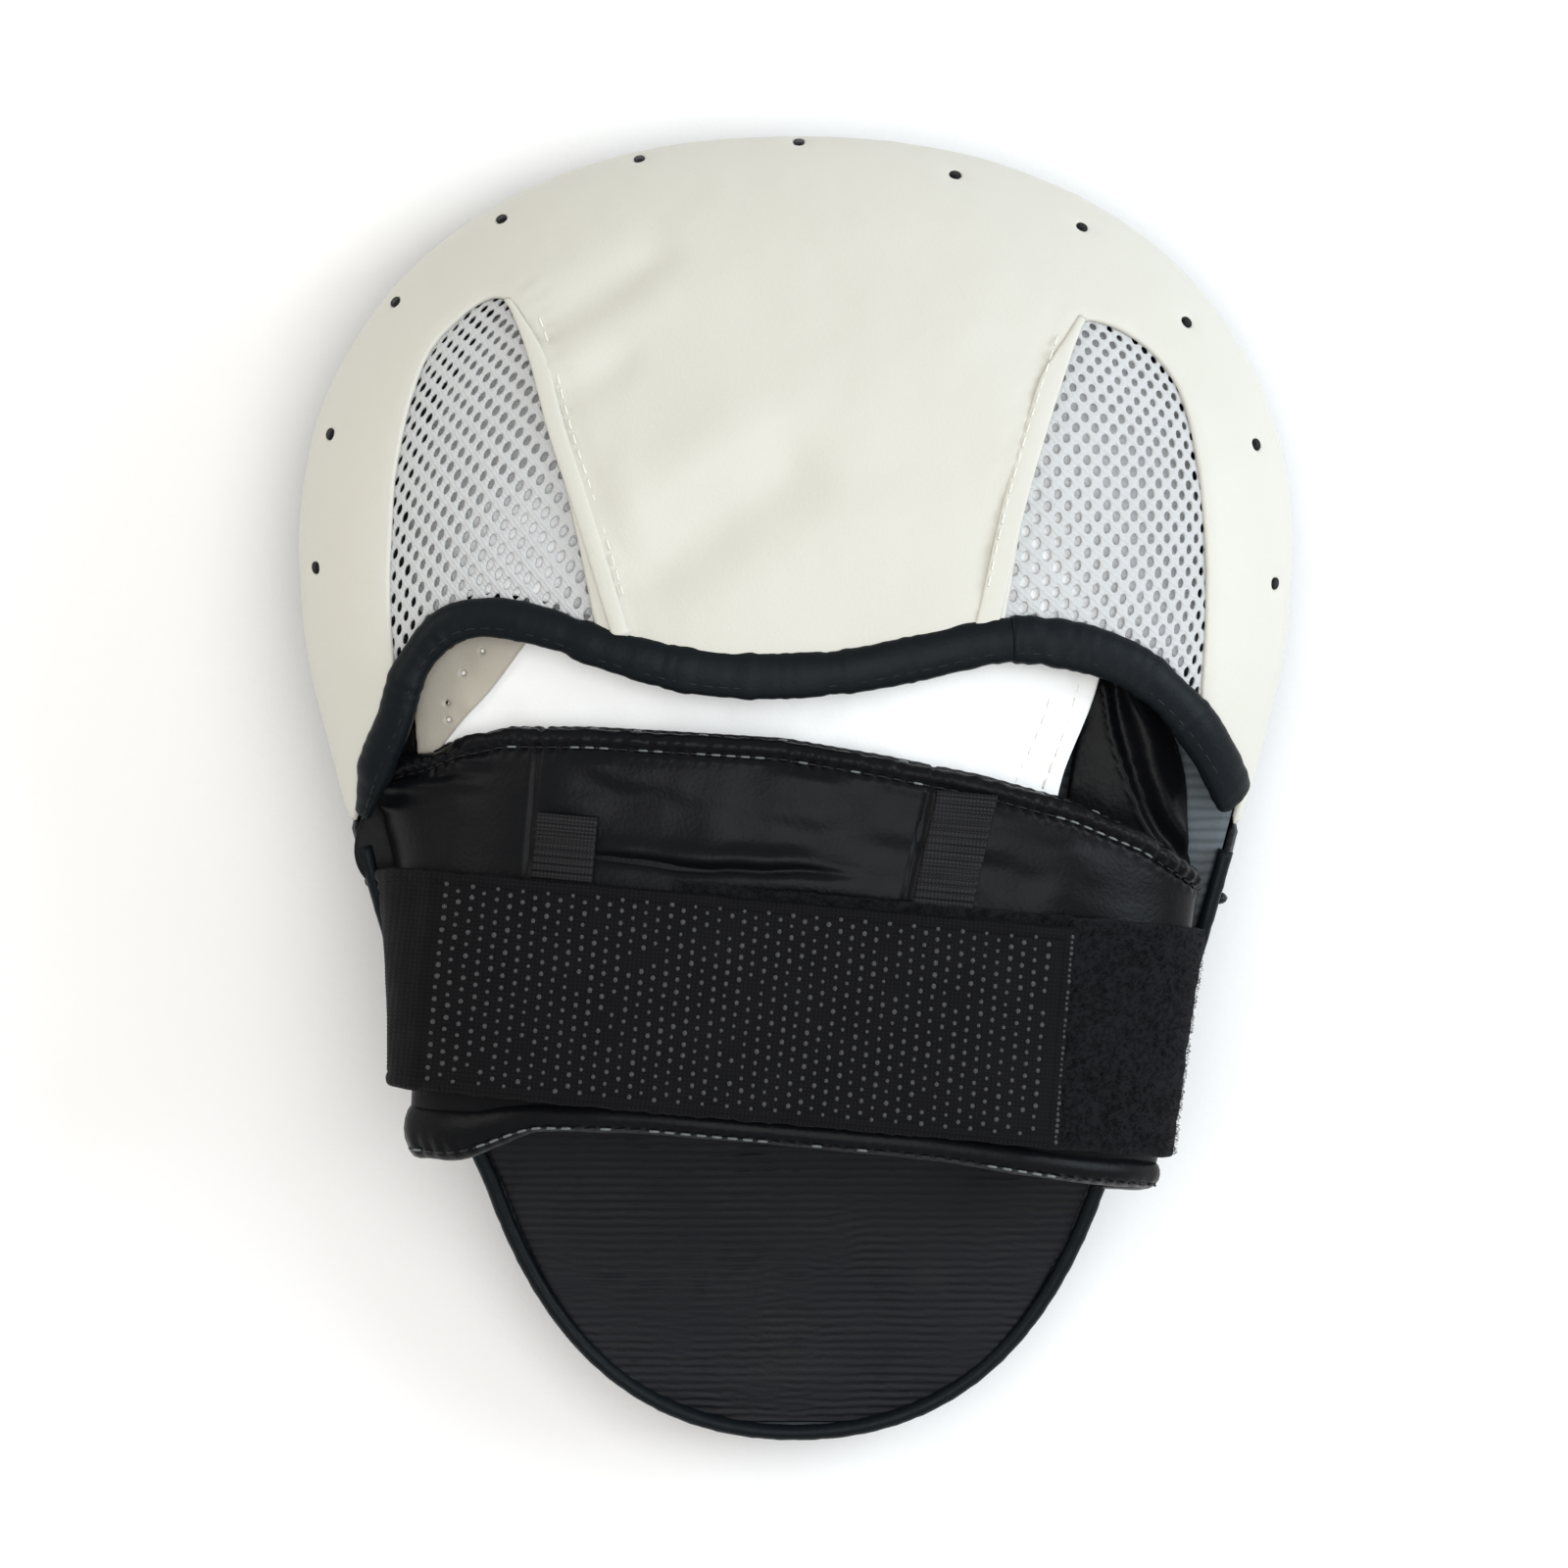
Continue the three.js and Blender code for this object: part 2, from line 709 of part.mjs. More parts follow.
// Padding and lining inside the hood, between the two windows.
const hoodPaddingRegion = [
  [-33, 33],
  [-10, 30],
  [10, 30],
  [33, 33],
  [37, 52],
  [41, 66],
  [45, 84],
  [30, 100],
  [0, 106],
  [-30, 100],
  [-45, 84],
  [-42, 68],
  [-37, 52],
];
const paddingDepth = SHELL + GAP;
add(
  "hood",
  "hood_padding",
  biggest(domeLayer(paddingDepth, 2.6).intersect(solid(prism(hoodPaddingRegion)))),
  FOAM_WHITE,
);
add(
  "hood",
  "hood_lining",
  biggest(domeLayer(paddingDepth + 2.6 + GAP, 1.1).intersect(solid(prism(hoodPaddingRegion)))),
  WHITE_MESH,
);

// ---- the wrist cuff: an arch whose axis follows the strap's slope ----
const alongX = Math.cos(STRAP_SLOPE);
const alongY = -Math.sin(STRAP_SLOPE);

// angle -1..1 goes round the arch from left to right, k runs along its axis.
function archPoint(angle, k) {
  const a = (angle * Math.PI) / 2;
  const power = 2 / CUFF_EXPONENT;
  const q = CUFF_HALF_WIDTH * Math.sign(a) * Math.abs(Math.sin(a)) ** power;
  const up = Math.abs(Math.cos(a)) ** power;
  let x = WRIST[0] + q * alongX - k * alongY;
  const y = WRIST[1] + q * alongY + k * alongX;
  const foot = Math.sign(a) * (halfWidth(y) - 6.4);
  x = lerp(foot, x, smooth(up, 0, 0.55));
  return vec(x, y, lerp(rimZ(y) - 0.5, CUFF_TOP, up));
}
const angleAt = (q) => {
  const s = Math.min(1, Math.abs(q) / CUFF_HALF_WIDTH) ** (CUFF_EXPONENT / 2);
  return (Math.sign(q) * Math.asin(s) * 2) / Math.PI;
};
// q is the distance along the strap, before it bends down the sides.
const archQ = (angle) =>
  CUFF_HALF_WIDTH *
  Math.sign(angle) *
  Math.abs(Math.sin((angle * Math.PI) / 2)) ** (2 / CUFF_EXPONENT);

const cuffSurface = (u, v) => {
  const angle = lerp(-1, 1, u);
  const q = archQ(angle);
  return archPoint(angle, lerp(CUFF_LOW_EDGE, tableValue(CUFF_HIGH_EDGE, q), v));
};
const CUFF_FACETS = 28;
const cuffLayers = [
  ["cuff_shell", 0, CUFF_SHELL, BLACK_LEATHER],
  ["cuff_foam", CUFF_SHELL + GAP, CUFF_FOAM, FOAM_BLACK],
  ["cuff_lining", CUFF_SHELL + CUFF_FOAM + 5 * GAP, CUFF_LINING, BLACK_GRAIN],
];
for (const [name, depth, thickness, look] of cuffLayers) {
  const arch = solid(sheet(cuffSurface, CUFF_FACETS, 2, -depth - thickness, -depth));
  add("cuff", name, biggest(arch.subtract(padBody)), look);
}
const cuffEnvelope = solid(
  sheet(
    (u, v) => {
      const angle = lerp(-1, 1, u);
      const q = archQ(angle);
      return archPoint(angle, lerp(CUFF_LOW_EDGE - 2, tableValue(CUFF_HIGH_EDGE, q) + 0.6, v));
    },
    CUFF_FACETS,
    2,
    -9.2,
    0.4,
  ),
);

// Rolled hem along the wrist end of the cuff.
const rollPath = [];
for (let i = 0; i <= 30; i += 1) {
  const u = lerp(0.02, 0.98, i / 30);
  const inner = offsetPoint(cuffSurface, u, 0, -4.2);
  rollPath.push(inner.add(vec(-alongY, alongX, 0).multiplyScalar(-(ROLL_RADIUS + GAP))));
}
add("cuff", "cuff_bottom_roll", cord(rollPath, ROLL_RADIUS, 28, 8), BLACK_LEATHER);

// A flat strip laid on the cuff between two distances along the strap.
function strip(q0, q1, k0, k1, low, high, across, along = 2, slant = 0) {
  const a0 = angleAt(q0);
  const a1 = angleAt(q1);
  const surface = (u, v) => {
    const k = lerp(k0, k1, v);
    const shift = (slant * (k - CUFF_LOW_EDGE)) / 76;
    const angle = lerp(a0, a1, u);
    return archPoint(shift ? angleAt(archQ(angle) + shift) : angle, k);
  };
  return sheet(surface, across, along, low, high);
}
add("cuff", "webbing_tape_left", strip(-52, -40.5, -21, 48.6, GAP, GAP + TAPE, 3, 8), BLACK_WEBBING);
add("cuff", "webbing_tape_right", strip(14, 25.5, -21, 47, GAP, GAP + TAPE, 3, 8, 10), BLACK_WEBBING);
const loopLow = 2 * GAP + TAPE;
add(
  "strap",
  "loop_tape",
  strip(-25, 75, -STRAP_HALF_WIDTH, 23, loopLow, loopLow + TAPE, 22, 2),
  BLACK_TAPE,
);

// ---- the hook strap, sewn on at the left and folding at three lines ----
const strapLow = loopLow + TAPE + GAP;
const strapPiece = (q0, q1, facets) =>
  strip(q0, q1, -STRAP_HALF_WIDTH, STRAP_HALF_WIDTH, strapLow, strapLow + STRAP, facets, 2);
const [cutA, cutB, cutC] = STRAP_CUTS;
add("strap", "strap_root", strapPiece(-76, cutA - 0.2, 8), BLACK_TAPE);
add("strap", "strap_middle", strapPiece(cutA + 0.2, cutB - 0.2, 10), BLACK_TAPE);
add("strap", "strap_front", strapPiece(cutB + 0.2, cutC - 0.2, 6), BLACK_TAPE);
add("strap", "strap_tip", strapPiece(cutC + 0.2, STRAP_TIP, 6), BLACK_TAPE);

// ---- soft panels between the hood and the cuff ----
const handRegion = [
  [-65, 2],
  [-30, -2],
  [10, -4],
  [46, -8],
  [50, 8],
  [53, 30],
  [40, 38],
  [0, 34],
  [-36, 38],
  [-62, 36],
];
const handPanelZ = (x, y) => domeZ(x, y) - 8.4 - 4.8 * smooth(38 - y, 0, 26);
add(
  "hood",
  "hand_panel",
  biggest(
    solid(
      cushion(
        handRegion,
        (x, y) => handPanelZ(x, y) - 1.3,
        handPanelZ,
        [0.35, 0.7],
        handRegion,
        [-4, 16],
      ),
    ).subtract(cuffEnvelope),
  ),
  WHITE_MESH,
);
const gussets = [
  [
    "side_gusset_left",
    [
      [-83, -9],
      [-74, -9],
      [-69.5, 0],
      [-67, 12],
      [-66, 25],
      [-70, 25],
      [-73.5, 15],
      [-77.5, 5],
    ],
    [-74, 5],
    -1,
  ],
  [
    "side_gusset_right",
    [
      [54.6, -4],
      [66, -10],
      [78, -17],
      [82.5, -10],
      [80.5, -1],
      [74, 9],
      [66, 16],
      [56, 20],
    ],
    [68, 2],
    1,
  ],
];
for (const [name, region, centre, way] of gussets) {
  const top = (x, y) => Math.max(domeZ(x, y) - 8 - 0.35 * (86 - way * x), backZ(x, y) + 2.2);
  add(
    "hood",
    name,
    biggest(
      solid(cushion(region, (x, y) => top(x, y) - 1.6, top, [0.5], region, centre))
        .subtract(cuffEnvelope)
        .subtract(padBody),
    ),
    BLACK_LEATHER,
  );
}

export default mitt;
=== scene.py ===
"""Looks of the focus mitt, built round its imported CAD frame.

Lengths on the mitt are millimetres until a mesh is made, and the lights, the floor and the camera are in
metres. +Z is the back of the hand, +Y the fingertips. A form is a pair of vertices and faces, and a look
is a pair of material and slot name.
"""

import math

import bmesh
import bpy
import numpy as np
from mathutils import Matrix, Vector
from mathutils.bvhtree import BVHTree
from mathutils.geometry import delaunay_2d_cdt
from mathutils.kdtree import KDTree


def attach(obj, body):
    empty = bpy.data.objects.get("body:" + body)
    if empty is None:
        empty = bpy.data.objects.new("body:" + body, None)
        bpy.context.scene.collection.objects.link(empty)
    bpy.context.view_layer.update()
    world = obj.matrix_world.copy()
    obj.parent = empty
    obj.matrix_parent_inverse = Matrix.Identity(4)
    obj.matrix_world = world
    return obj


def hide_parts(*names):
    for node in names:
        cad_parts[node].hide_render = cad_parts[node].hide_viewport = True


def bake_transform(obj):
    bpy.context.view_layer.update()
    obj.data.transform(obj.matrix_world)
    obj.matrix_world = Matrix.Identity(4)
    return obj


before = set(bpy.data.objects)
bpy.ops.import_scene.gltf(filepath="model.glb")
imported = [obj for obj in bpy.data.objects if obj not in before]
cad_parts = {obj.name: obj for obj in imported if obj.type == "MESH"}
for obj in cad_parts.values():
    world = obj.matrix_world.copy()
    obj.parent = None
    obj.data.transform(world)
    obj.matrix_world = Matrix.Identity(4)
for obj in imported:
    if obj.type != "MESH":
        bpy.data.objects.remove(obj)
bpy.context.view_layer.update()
MM = 0.001
rng = np.random.default_rng(11)

# ---- dimensions shared with the CAD part ----
CENTRE = (0.0, 15.0)
TOE_START, TOE_LENGTH, HALF_WIDTH, OVAL_POWER = 45, 80, 95.4, 2.2
FLANK = [(95.4, 45), (93.5, 25), (87.3, 0), (82, -20), (76.5, -38), (68.5, -58), (60, -77)]
HEEL = [(60, -77), (49.5, -108), (31, -126.6), (0, -126.6)]
DOME_TOP = 76.0
DOME_SPREAD = 1.25
MOUTH = [
    (-87, -11), (-84, -7), (-80.3, 4.1), (-76.7, 12.6), (-73.6, 22), (-67.1, 29.8), (-58.7, 32),
    (-47.4, 30), (-35.2, 25.6), (-21, 22), (-7.9, 20.8), (9, 21.6), (24.1, 24.4), (39.1, 27.6),
    (52.3, 26.6), (63.5, 22.9), (72, 16.4), (79, 7.8), (84.6, -3), (87.6, -12),
]
VENTS = [
    (-92.1, 41.7), (-89.5, 67.5), (-77.1, 93.1), (-56.6, 109.0), (-30.1, 120.7), (0.6, 124.1),
    (30.6, 117.3), (54.9, 107.2), (75.0, 88.9), (88.4, 65.4), (91.9, 38.7),
]
SLOPE = 0.0908
WRIST = (0.0, -43.0)
CUFF_HALF, CUFF_POWER, CUFF_TOP = 76.5, 2.6, 76.0
CUFF_LOW = -21.6
CUFF_HEIGHT = 76
CUFF_HIGH = [
    (-77, 40), (-75, 42.5), (-69, 46.5), (-60, 49.3), (-44, 50.6), (-25, 51.2), (-7, 51.7), (12, 50.2),
    (31, 48.2), (49, 45), (63, 40.5), (77, 33),
]
STRAP_HALF = 21.0
JOIN_X = 40.0


# ---- numbers and curves ----
def smooth(x, a, b):
    """0 before a, 1 after b, with an easy slope between."""
    t = np.clip((np.asarray(x, float) - a) / (b - a), 0, 1)
    return t * t * (3 - 2 * t)


def mix(a, b, t):
    return a + (b - a) * t


def bell(x, width):
    """A soft hump of height 1 round 0."""
    return np.exp(-((x / width) ** 2))


def unit(v):
    return v / (np.linalg.norm(v, axis=-1, keepdims=True) + 1e-12)


def circle(count):
    return np.linspace(0, 2 * np.pi, count, endpoint=False)


def run_along(path):
    """The length of a path up to each of its points."""
    return np.concatenate([[0], np.cumsum(np.linalg.norm(np.diff(path, axis=0), axis=1))])


def at_run(s, run, rows):
    """The rows interpolated at distances s along a path."""
    return np.stack([np.interp(s, run, column) for column in rows.T], 1)


def resample(points, count):
    run = run_along(points)
    return at_run(np.linspace(0, run[-1], count), run, points)


def spline(points, count, closed=False):
    """Evenly spaced points on a Catmull-Rom curve."""
    p = np.array(points, float)
    before, after = ([p[-1]], p[:2]) if closed else ([2 * p[0] - p[1]], [2 * p[-1] - p[-2]])
    ext = np.vstack([before, p, after])
    t = np.linspace(0, 1, 24, endpoint=False)[:, None]
    out = []
    for a, b, c, d in zip(ext, ext[1:], ext[2:], ext[3:]):
        bend = (2 * a - 5 * b + 4 * c - d) * t**2 + (3 * b - a - 3 * c + d) * t**3
        out.append(0.5 * (2 * b + (c - a) * t + bend))
    return resample(np.vstack(out + [p[:1] if closed else p[-1:]]), count)


def smoothed(values, kernel):
    """A row of values, each averaged with its neighbours."""
    return np.convolve(np.pad(values, len(kernel) // 2, mode="edge"), kernel, "valid")


def hashed(i, j, k, seed):
    n = (i * 374761393 + j * 668265263 + k * 2246822519 + seed * 3266489917) & 0xFFFFFFFF
    n = ((n ^ (n >> 13)) * 1274126177) & 0xFFFFFFFF
    return ((n ^ (n >> 16)) & 0xFFFF) / 32767.5 - 1


def noise(x, y, z=0.0, seed=0):
    """Smooth value noise from -1 to 1."""
    x, y, z = np.broadcast_arrays(np.asarray(x, float), np.asarray(y, float), np.asarray(z, float))
    xi, yi, zi = (np.floor(v).astype(np.int64) for v in (x, y, z))
    fx, fy, fz = (v - np.floor(v) for v in (x, y, z))
    fx, fy, fz = (f * f * f * (f * (6 * f - 15) + 10) for f in (fx, fy, fz))
    total = 0.0
    for a in (0, 1):
        for b in (0, 1):
            for c in (0, 1):
                w = (fx if a else 1 - fx) * (fy if b else 1 - fy) * (fz if c else 1 - fz)
                total = total + w * hashed(xi + a, yi + b, zi + c, seed)
    return total


def fbm(x, y, z=0.0, seed=0):
    """Three octaves of noise."""
    total = 0.0
    for o, f in enumerate((1.0, 2.03, 2.03 * 2.03)):
        total = total + 0.5**o * noise(np.asarray(x) * f, np.asarray(y) * f, np.asarray(z) * f, seed + o)
    return total


# ---- the pad in plan and its heights ----
def dense_outline():
    """Toe, flank and heel down the right side, then the same up the left."""
    a = (np.pi / 2) * (1 - np.arange(41) / 40)
    power = 2 / OVAL_POWER
    toe = np.stack([HALF_WIDTH * np.cos(a) ** power, TOE_START + TOE_LENGTH * np.sin(a) ** power], 1)
    flank = spline(FLANK, 41)[1:]
    t = (np.arange(1, 31) / 30)[:, None]
    h = np.array(HEEL, float)
    heel = (1 - t) ** 3 * h[0] + 3 * (1 - t) ** 2 * t * h[1] + 3 * (1 - t) * t**2 * h[2] + t**3 * h[3]
    right = np.vstack([toe, flank, heel])
    return np.vstack([right, right[1:-1][::-1] * [-1, 1]])


def polar(x, y):
    """Distance and angle from the dome's centre, and the outline's distance at that angle."""
    dx, dy = np.asarray(x, float) - CENTRE[0], np.asarray(y, float) - CENTRE[1]
    angle = np.arctan2(dy, dx)
    return np.hypot(dx, dy), angle, reach(angle)


DENSE = dense_outline()
REACH_ANGLE = np.arctan2(DENSE[:, 1] - CENTRE[1], DENSE[:, 0] - CENTRE[0])
REACH_ORDER = np.argsort(REACH_ANGLE)
REACH_ANGLE = REACH_ANGLE[REACH_ORDER]
REACH = np.hypot(DENSE[:, 0] - CENTRE[0], DENSE[:, 1] - CENTRE[1])[REACH_ORDER]


def reach(angle):
    angle = (np.asarray(angle) + np.pi) % (2 * np.pi) - np.pi
    return np.interp(angle, REACH_ANGLE, REACH, period=2 * np.pi)


def half_width(y):
    right = DENSE[: len(DENSE) // 2 + 1]
    return np.interp(-np.asarray(y, float), -right[:, 1], right[:, 0])


def bow(y):
    """How far the striking face curves up from the floor."""
    return 6.5 * (1 + np.cos(np.pi * np.minimum(1, np.abs(y) / 94)))


def rim_z(y):
    return 33 + 0.9 * bow(y) - 9 * smooth(-np.asarray(y, float), 55, 125)


def back_z(x, y):
    d, _, r = polar(x, y)
    return rim_z(y) + 2 * (1 - smooth(d / r, 0.4, 0.8))


def dome_height(angle, r, rise, depth):
    return mix(rim_z(CENTRE[1] + r * np.sin(angle)) + 0.3, DOME_TOP - depth, rise)


def dome_z(x, y, depth=0.0):
    d, angle, r = polar(x, y)
    rise = np.sqrt(np.maximum(0, 1 - np.minimum(1, d / (r - depth)) ** OVAL_POWER))
    return dome_height(angle, r, rise, depth)


def dome_point(m, depth=0.0):
    """The dome's surface, or a depth below it, from a flat map whose spacing stays even to the rim."""
    d = np.hypot(m[:, 0], m[:, 1])
    angle = np.arctan2(m[:, 1], m[:, 0])
    r = reach(angle)
    rho = np.clip(d / (r * DOME_SPREAD), 0, 1)
    radius = np.sin(np.pi * rho / 2) ** (2 / OVAL_POWER) * (r - depth)
    z = dome_height(angle, r, np.cos(np.pi * rho / 2), depth)
    return np.stack([CENTRE[0] + radius * np.cos(angle), CENTRE[1] + radius * np.sin(angle), z], 1)


def dome_map(xy):
    """The map's point for a point in plan."""
    xy = np.asarray(xy, float)
    d, angle, r = polar(xy[:, 0], xy[:, 1])
    rho = (2 / np.pi) * np.arcsin(np.clip(d / r, 0, 1) ** (OVAL_POWER / 2))
    return np.stack([rho * r * DOME_SPREAD * np.cos(angle), rho * r * DOME_SPREAD * np.sin(angle)], 1)


# ---- the cuff's arch: angle -1..1 over the wrist, k along the hand ----
ALONG = np.array([math.cos(SLOPE), -math.sin(SLOPE)])


def arch_q(angle):
    """Distance along the strap's line in plan."""
    return CUFF_HALF * np.sign(angle) * np.abs(np.sin(angle * np.pi / 2)) ** (2 / CUFF_POWER)


def angle_at(q):
    s = np.minimum(1, np.abs(q) / CUFF_HALF) ** (CUFF_POWER / 2)
    return np.sign(q) * np.arcsin(s) * 2 / np.pi


def arch(angle, k):
    angle = np.asarray(angle, float)
    q = arch_q(angle)
    up = np.abs(np.cos(angle * np.pi / 2)) ** (2 / CUFF_POWER)
    x = WRIST[0] + q * ALONG[0] - k * ALONG[1]
    y = WRIST[1] + q * ALONG[1] + k * ALONG[0]
    foot = np.sign(angle) * (half_width(y) - 6.4)
    x = mix(foot, x, smooth(up, 0, 0.55))
    return np.stack([x, y, mix(rim_z(y) + 0.35, CUFF_TOP, up)], -1)


def arch_normals(angle, k):
    du = arch(angle + 0.004, k) - arch(angle - 0.004, k)
    return unit(np.cross(du, arch(angle, k + 0.5) - arch(angle, k - 0.5)))


def cuff_high(q):
    table = np.array(CUFF_HIGH, float)
    return np.interp(q, table[:, 0], table[:, 1])


# ---- meshes ----
def place(obj, look, replaces=(), body="mitt"):
    """Hangs a piece on its body and hides the CAD parts it stands for; its look is not used."""
    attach(obj, body)
    if replaces:
        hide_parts(*replaces)
    return obj


def build(name, form, look, replaces=(), body="mitt", uv=None):
    """A smooth-shaded piece with its normals out; it is left unplaced if body is None."""
    verts, faces = form
    mesh = bpy.data.meshes.new(name)
    mesh.from_pydata((np.asarray(verts, float) * MM).tolist(), [], [list(map(int, f)) for f in faces])
    mesh.validate()
    mesh.update()
    bm = bmesh.new()
    bm.from_mesh(mesh)
    bmesh.ops.recalc_face_normals(bm, faces=bm.faces)
    bm.to_mesh(mesh)
    bm.free()
    obj = bpy.data.objects.new(name, mesh)
    bpy.context.scene.collection.objects.link(obj)
    mesh.materials.append(look[0])
    if uv is not None:
        layer = mesh.uv_layers.new(name="UVMap")
        loops = np.zeros(len(mesh.loops), np.int32)
        mesh.loops.foreach_get("vertex_index", loops)
        layer.data.foreach_set("uv", np.asarray(uv, np.float32)[loops].ravel())
    mesh.polygons.foreach_set("use_smooth", [True] * len(mesh.polygons))
    return place(obj, look, replaces, body) if body else obj


def gather(forms):
    """Joins forms into one."""
    faces, n = [], 0
    for verts, part in forms:
        faces += [[int(i) + n for i in face] for face in part]
        n += len(verts)
    return np.vstack([verts for verts, _ in forms]), faces


def tube(rings):
    """The form of a capped tube through rings of points."""
    p = np.asarray(rings)
    nu, nv = p.shape[:2]
    a, k = np.arange(nu - 1)[:, None] * nv, np.arange(nv)[None, :]
    b = (k + 1) % nv
    faces = np.stack([a + k, a + b, a + nv + b, a + nv + k], -1).reshape(-1, 4).tolist()
    return p.reshape(-1, 3), [*faces, list(range(nv - 1, -1, -1)), list(range(nu * nv - nv, nu * nv))]


def grid_quads(nu, nv):
    a = np.arange(nu - 1)[:, None] * nv + np.arange(nv - 1)[None, :]
    return np.stack([a, a + nv, a + nv + 1, a + 1], -1).reshape(-1, 4)


def grid_normals(p, inside):
    n = unit(np.cross(np.gradient(p, axis=0), np.gradient(p, axis=1)))
    return -n if np.sum(n * (p - np.array(inside, float))) < 0 else n


def border_distance(p, open_sides):
    """Distance of each grid point from the sheet's own edges, ignoring the sides named."""
    best = np.full(p.shape[:2], 1e9)
    for axis in (0, 1):
        step = np.linalg.norm(np.diff(p, axis=axis), axis=-1)
        run = np.insert(np.cumsum(step, axis=axis), 0, 0, axis=axis)
        for end, distance in enumerate((run, np.take(run, [-1], axis=axis) - run)):
            if f"{'uv'[axis]}{end}" not in open_sides:
                best = np.minimum(best, distance)
    return best


def rounding(distance, half, least):
    """Share of a sheet's half thickness at a distance from its rounded edge."""
    return np.maximum(least, np.sqrt(1 - (1 - np.clip(distance / half, 0, 1)) ** 2))


def thick_sheet(p, low, high, inside, bump=0.0, open_sides=(), normals=None):
    """The form of a closed sheet with rounded edges over a grid of points."""
    nu, nv = p.shape[:2]
    n = grid_normals(p, inside) if normals is None else normals
    half, middle = (high - low) / 2, (high + low) / 2
    f = rounding(border_distance(p, open_sides), half, 0.12)
    outer = p + n * (middle + half * f + bump)[..., None]
    inner = p + n * (middle - half * f)[..., None]
    quads = grid_quads(nu, nv)
    last = (nu - 1) * nv
    ring = [np.arange(nu) * nv, last + np.arange(1, nv), np.arange(nu - 2, -1, -1) * nv + nv - 1]
    ring = np.concatenate([*ring, np.arange(nv - 2, 0, -1)])
    ahead = np.roll(ring, -1)
    side = np.stack([ring, ring + nu * nv, ahead + nu * nv, ahead], 1)
    verts = np.vstack([outer.reshape(-1, 3), inner.reshape(-1, 3)])
    return verts, np.vstack([quads, (quads + nu * nv)[:, ::-1], side])


def edge_steps(length, spacing, radius):
    """Parameters 0..1 that are close together near both ends."""
    near = np.array([0, 0.1, 0.3, 0.6, 1.0]) * radius / length
    count = max(2, int(round((length - 2 * radius) / spacing)))
    inner = np.linspace(near[-1], 1 - near[-1], count + 1)
    return np.concatenate([near[:-1], inner, 1 - near[:-1][::-1]])


def inside_loop(points, loop):
    """Even-odd test of many points against one closed loop."""
    result = np.zeros(len(points), bool)
    lo, hi = loop.min(0), loop.max(0)
    near = np.nonzero(((points >= lo) & (points <= hi)).all(1))[0]
    if not len(near):
        return result
    x, y = points[near, 0], points[near, 1]
    inside = np.zeros(len(near), bool)
    for (ax, ay), (bx, by) in zip(loop, np.roll(loop, -1, axis=0)):
        if ay == by:
            continue
        crosses = (ay > y) != (by > y)
        inside ^= crosses & (x < (bx - ax) * (y - ay) / (by - ay) + ax)
    result[near] = inside
    return result


def inside_region(points, outer, holes):
    keep = inside_loop(points, outer)
    for hole in holes:
        keep &= ~inside_loop(points, hole)
    return keep


def loop_distance(points, *loops):
    """Distance from each flat point to the nearest of some closed loops."""
    samples = []
    for loop in loops:
        closed = np.vstack([loop, loop[:1]])
        samples.append(resample(closed, max(8, int(run_along(closed)[-1] / 0.25))))
    samples = np.vstack(samples)
    tree = KDTree(len(samples))
    for i, (x, y) in enumerate(samples):
        tree.insert((x, y, 0), i)
    tree.balance()
    return np.array([tree.find((x, y, 0))[2] for x, y in points])


def shift_loop(loop, distance):
    """A closed loop moved inwards."""
    ahead = np.roll(loop, -1, axis=0)
    d = unit(ahead - np.roll(loop, 1, axis=0))
    area = 0.5 * np.sum(loop[:, 0] * ahead[:, 1] - ahead[:, 0] * loop[:, 1])
    return loop + np.stack([-d[:, 1], d[:, 0]], 1) * (1 if area > 0 else -1) * distance


def triangulate(outer, holes, spacing, rings):
    """A triangle mesh of a flat region with holes, with rows of points beside every edge."""
    loops = [outer, *holes]
    lo, hi = outer.min(0), outer.max(0)
    ys = np.arange(lo[1], hi[1], spacing * 0.866)
    gx, gy = np.meshgrid(np.arange(lo[0], hi[0], spacing), ys)
    gx = gx + (np.arange(len(ys)) % 2)[:, None] * spacing / 2
    grid = np.stack([gx.ravel(), gy.ravel()], 1)
    grid = grid[inside_region(grid, outer, holes)]
    grid = grid[loop_distance(grid, *loops) > rings[-1] + 0.45 * spacing]
    extra = []
    for r in rings:
        ring = np.vstack([shift_loop(loop, -r if i else r) for i, loop in enumerate(loops)])
        ring = ring[inside_region(ring, outer, holes)]
        extra.append(ring[loop_distance(ring, *loops) > r * 0.8])
    edges, start = [], 0
    for loop in loops:
        n = len(loop)
        edges += [(start + i, start + (i + 1) % n) for i in range(n)]
        start += n
    points = [Vector(p) for p in np.vstack([*loops, *extra, grid])]
    verts, _, faces, *_ = delaunay_2d_cdt(points, edges, [], 0, 1e-5)
    verts = np.array([tuple(v) for v in verts])
    faces = np.array([f for f in faces if len(f) == 3])
    faces = faces[inside_region(verts[faces].mean(1), outer, holes)]
    used, inverse = np.unique(faces, return_inverse=True)
    return verts[used], inverse.reshape(-1, 3)


def map_normals(to_space, m):
    e = 0.05
    du = to_space(m + [e, 0]) - to_space(m - [e, 0])
    n = unit(np.cross(du, to_space(m + [0, e]) - to_space(m - [0, e])))
    n[n[:, 2] < -0.2] *= -1
    return n


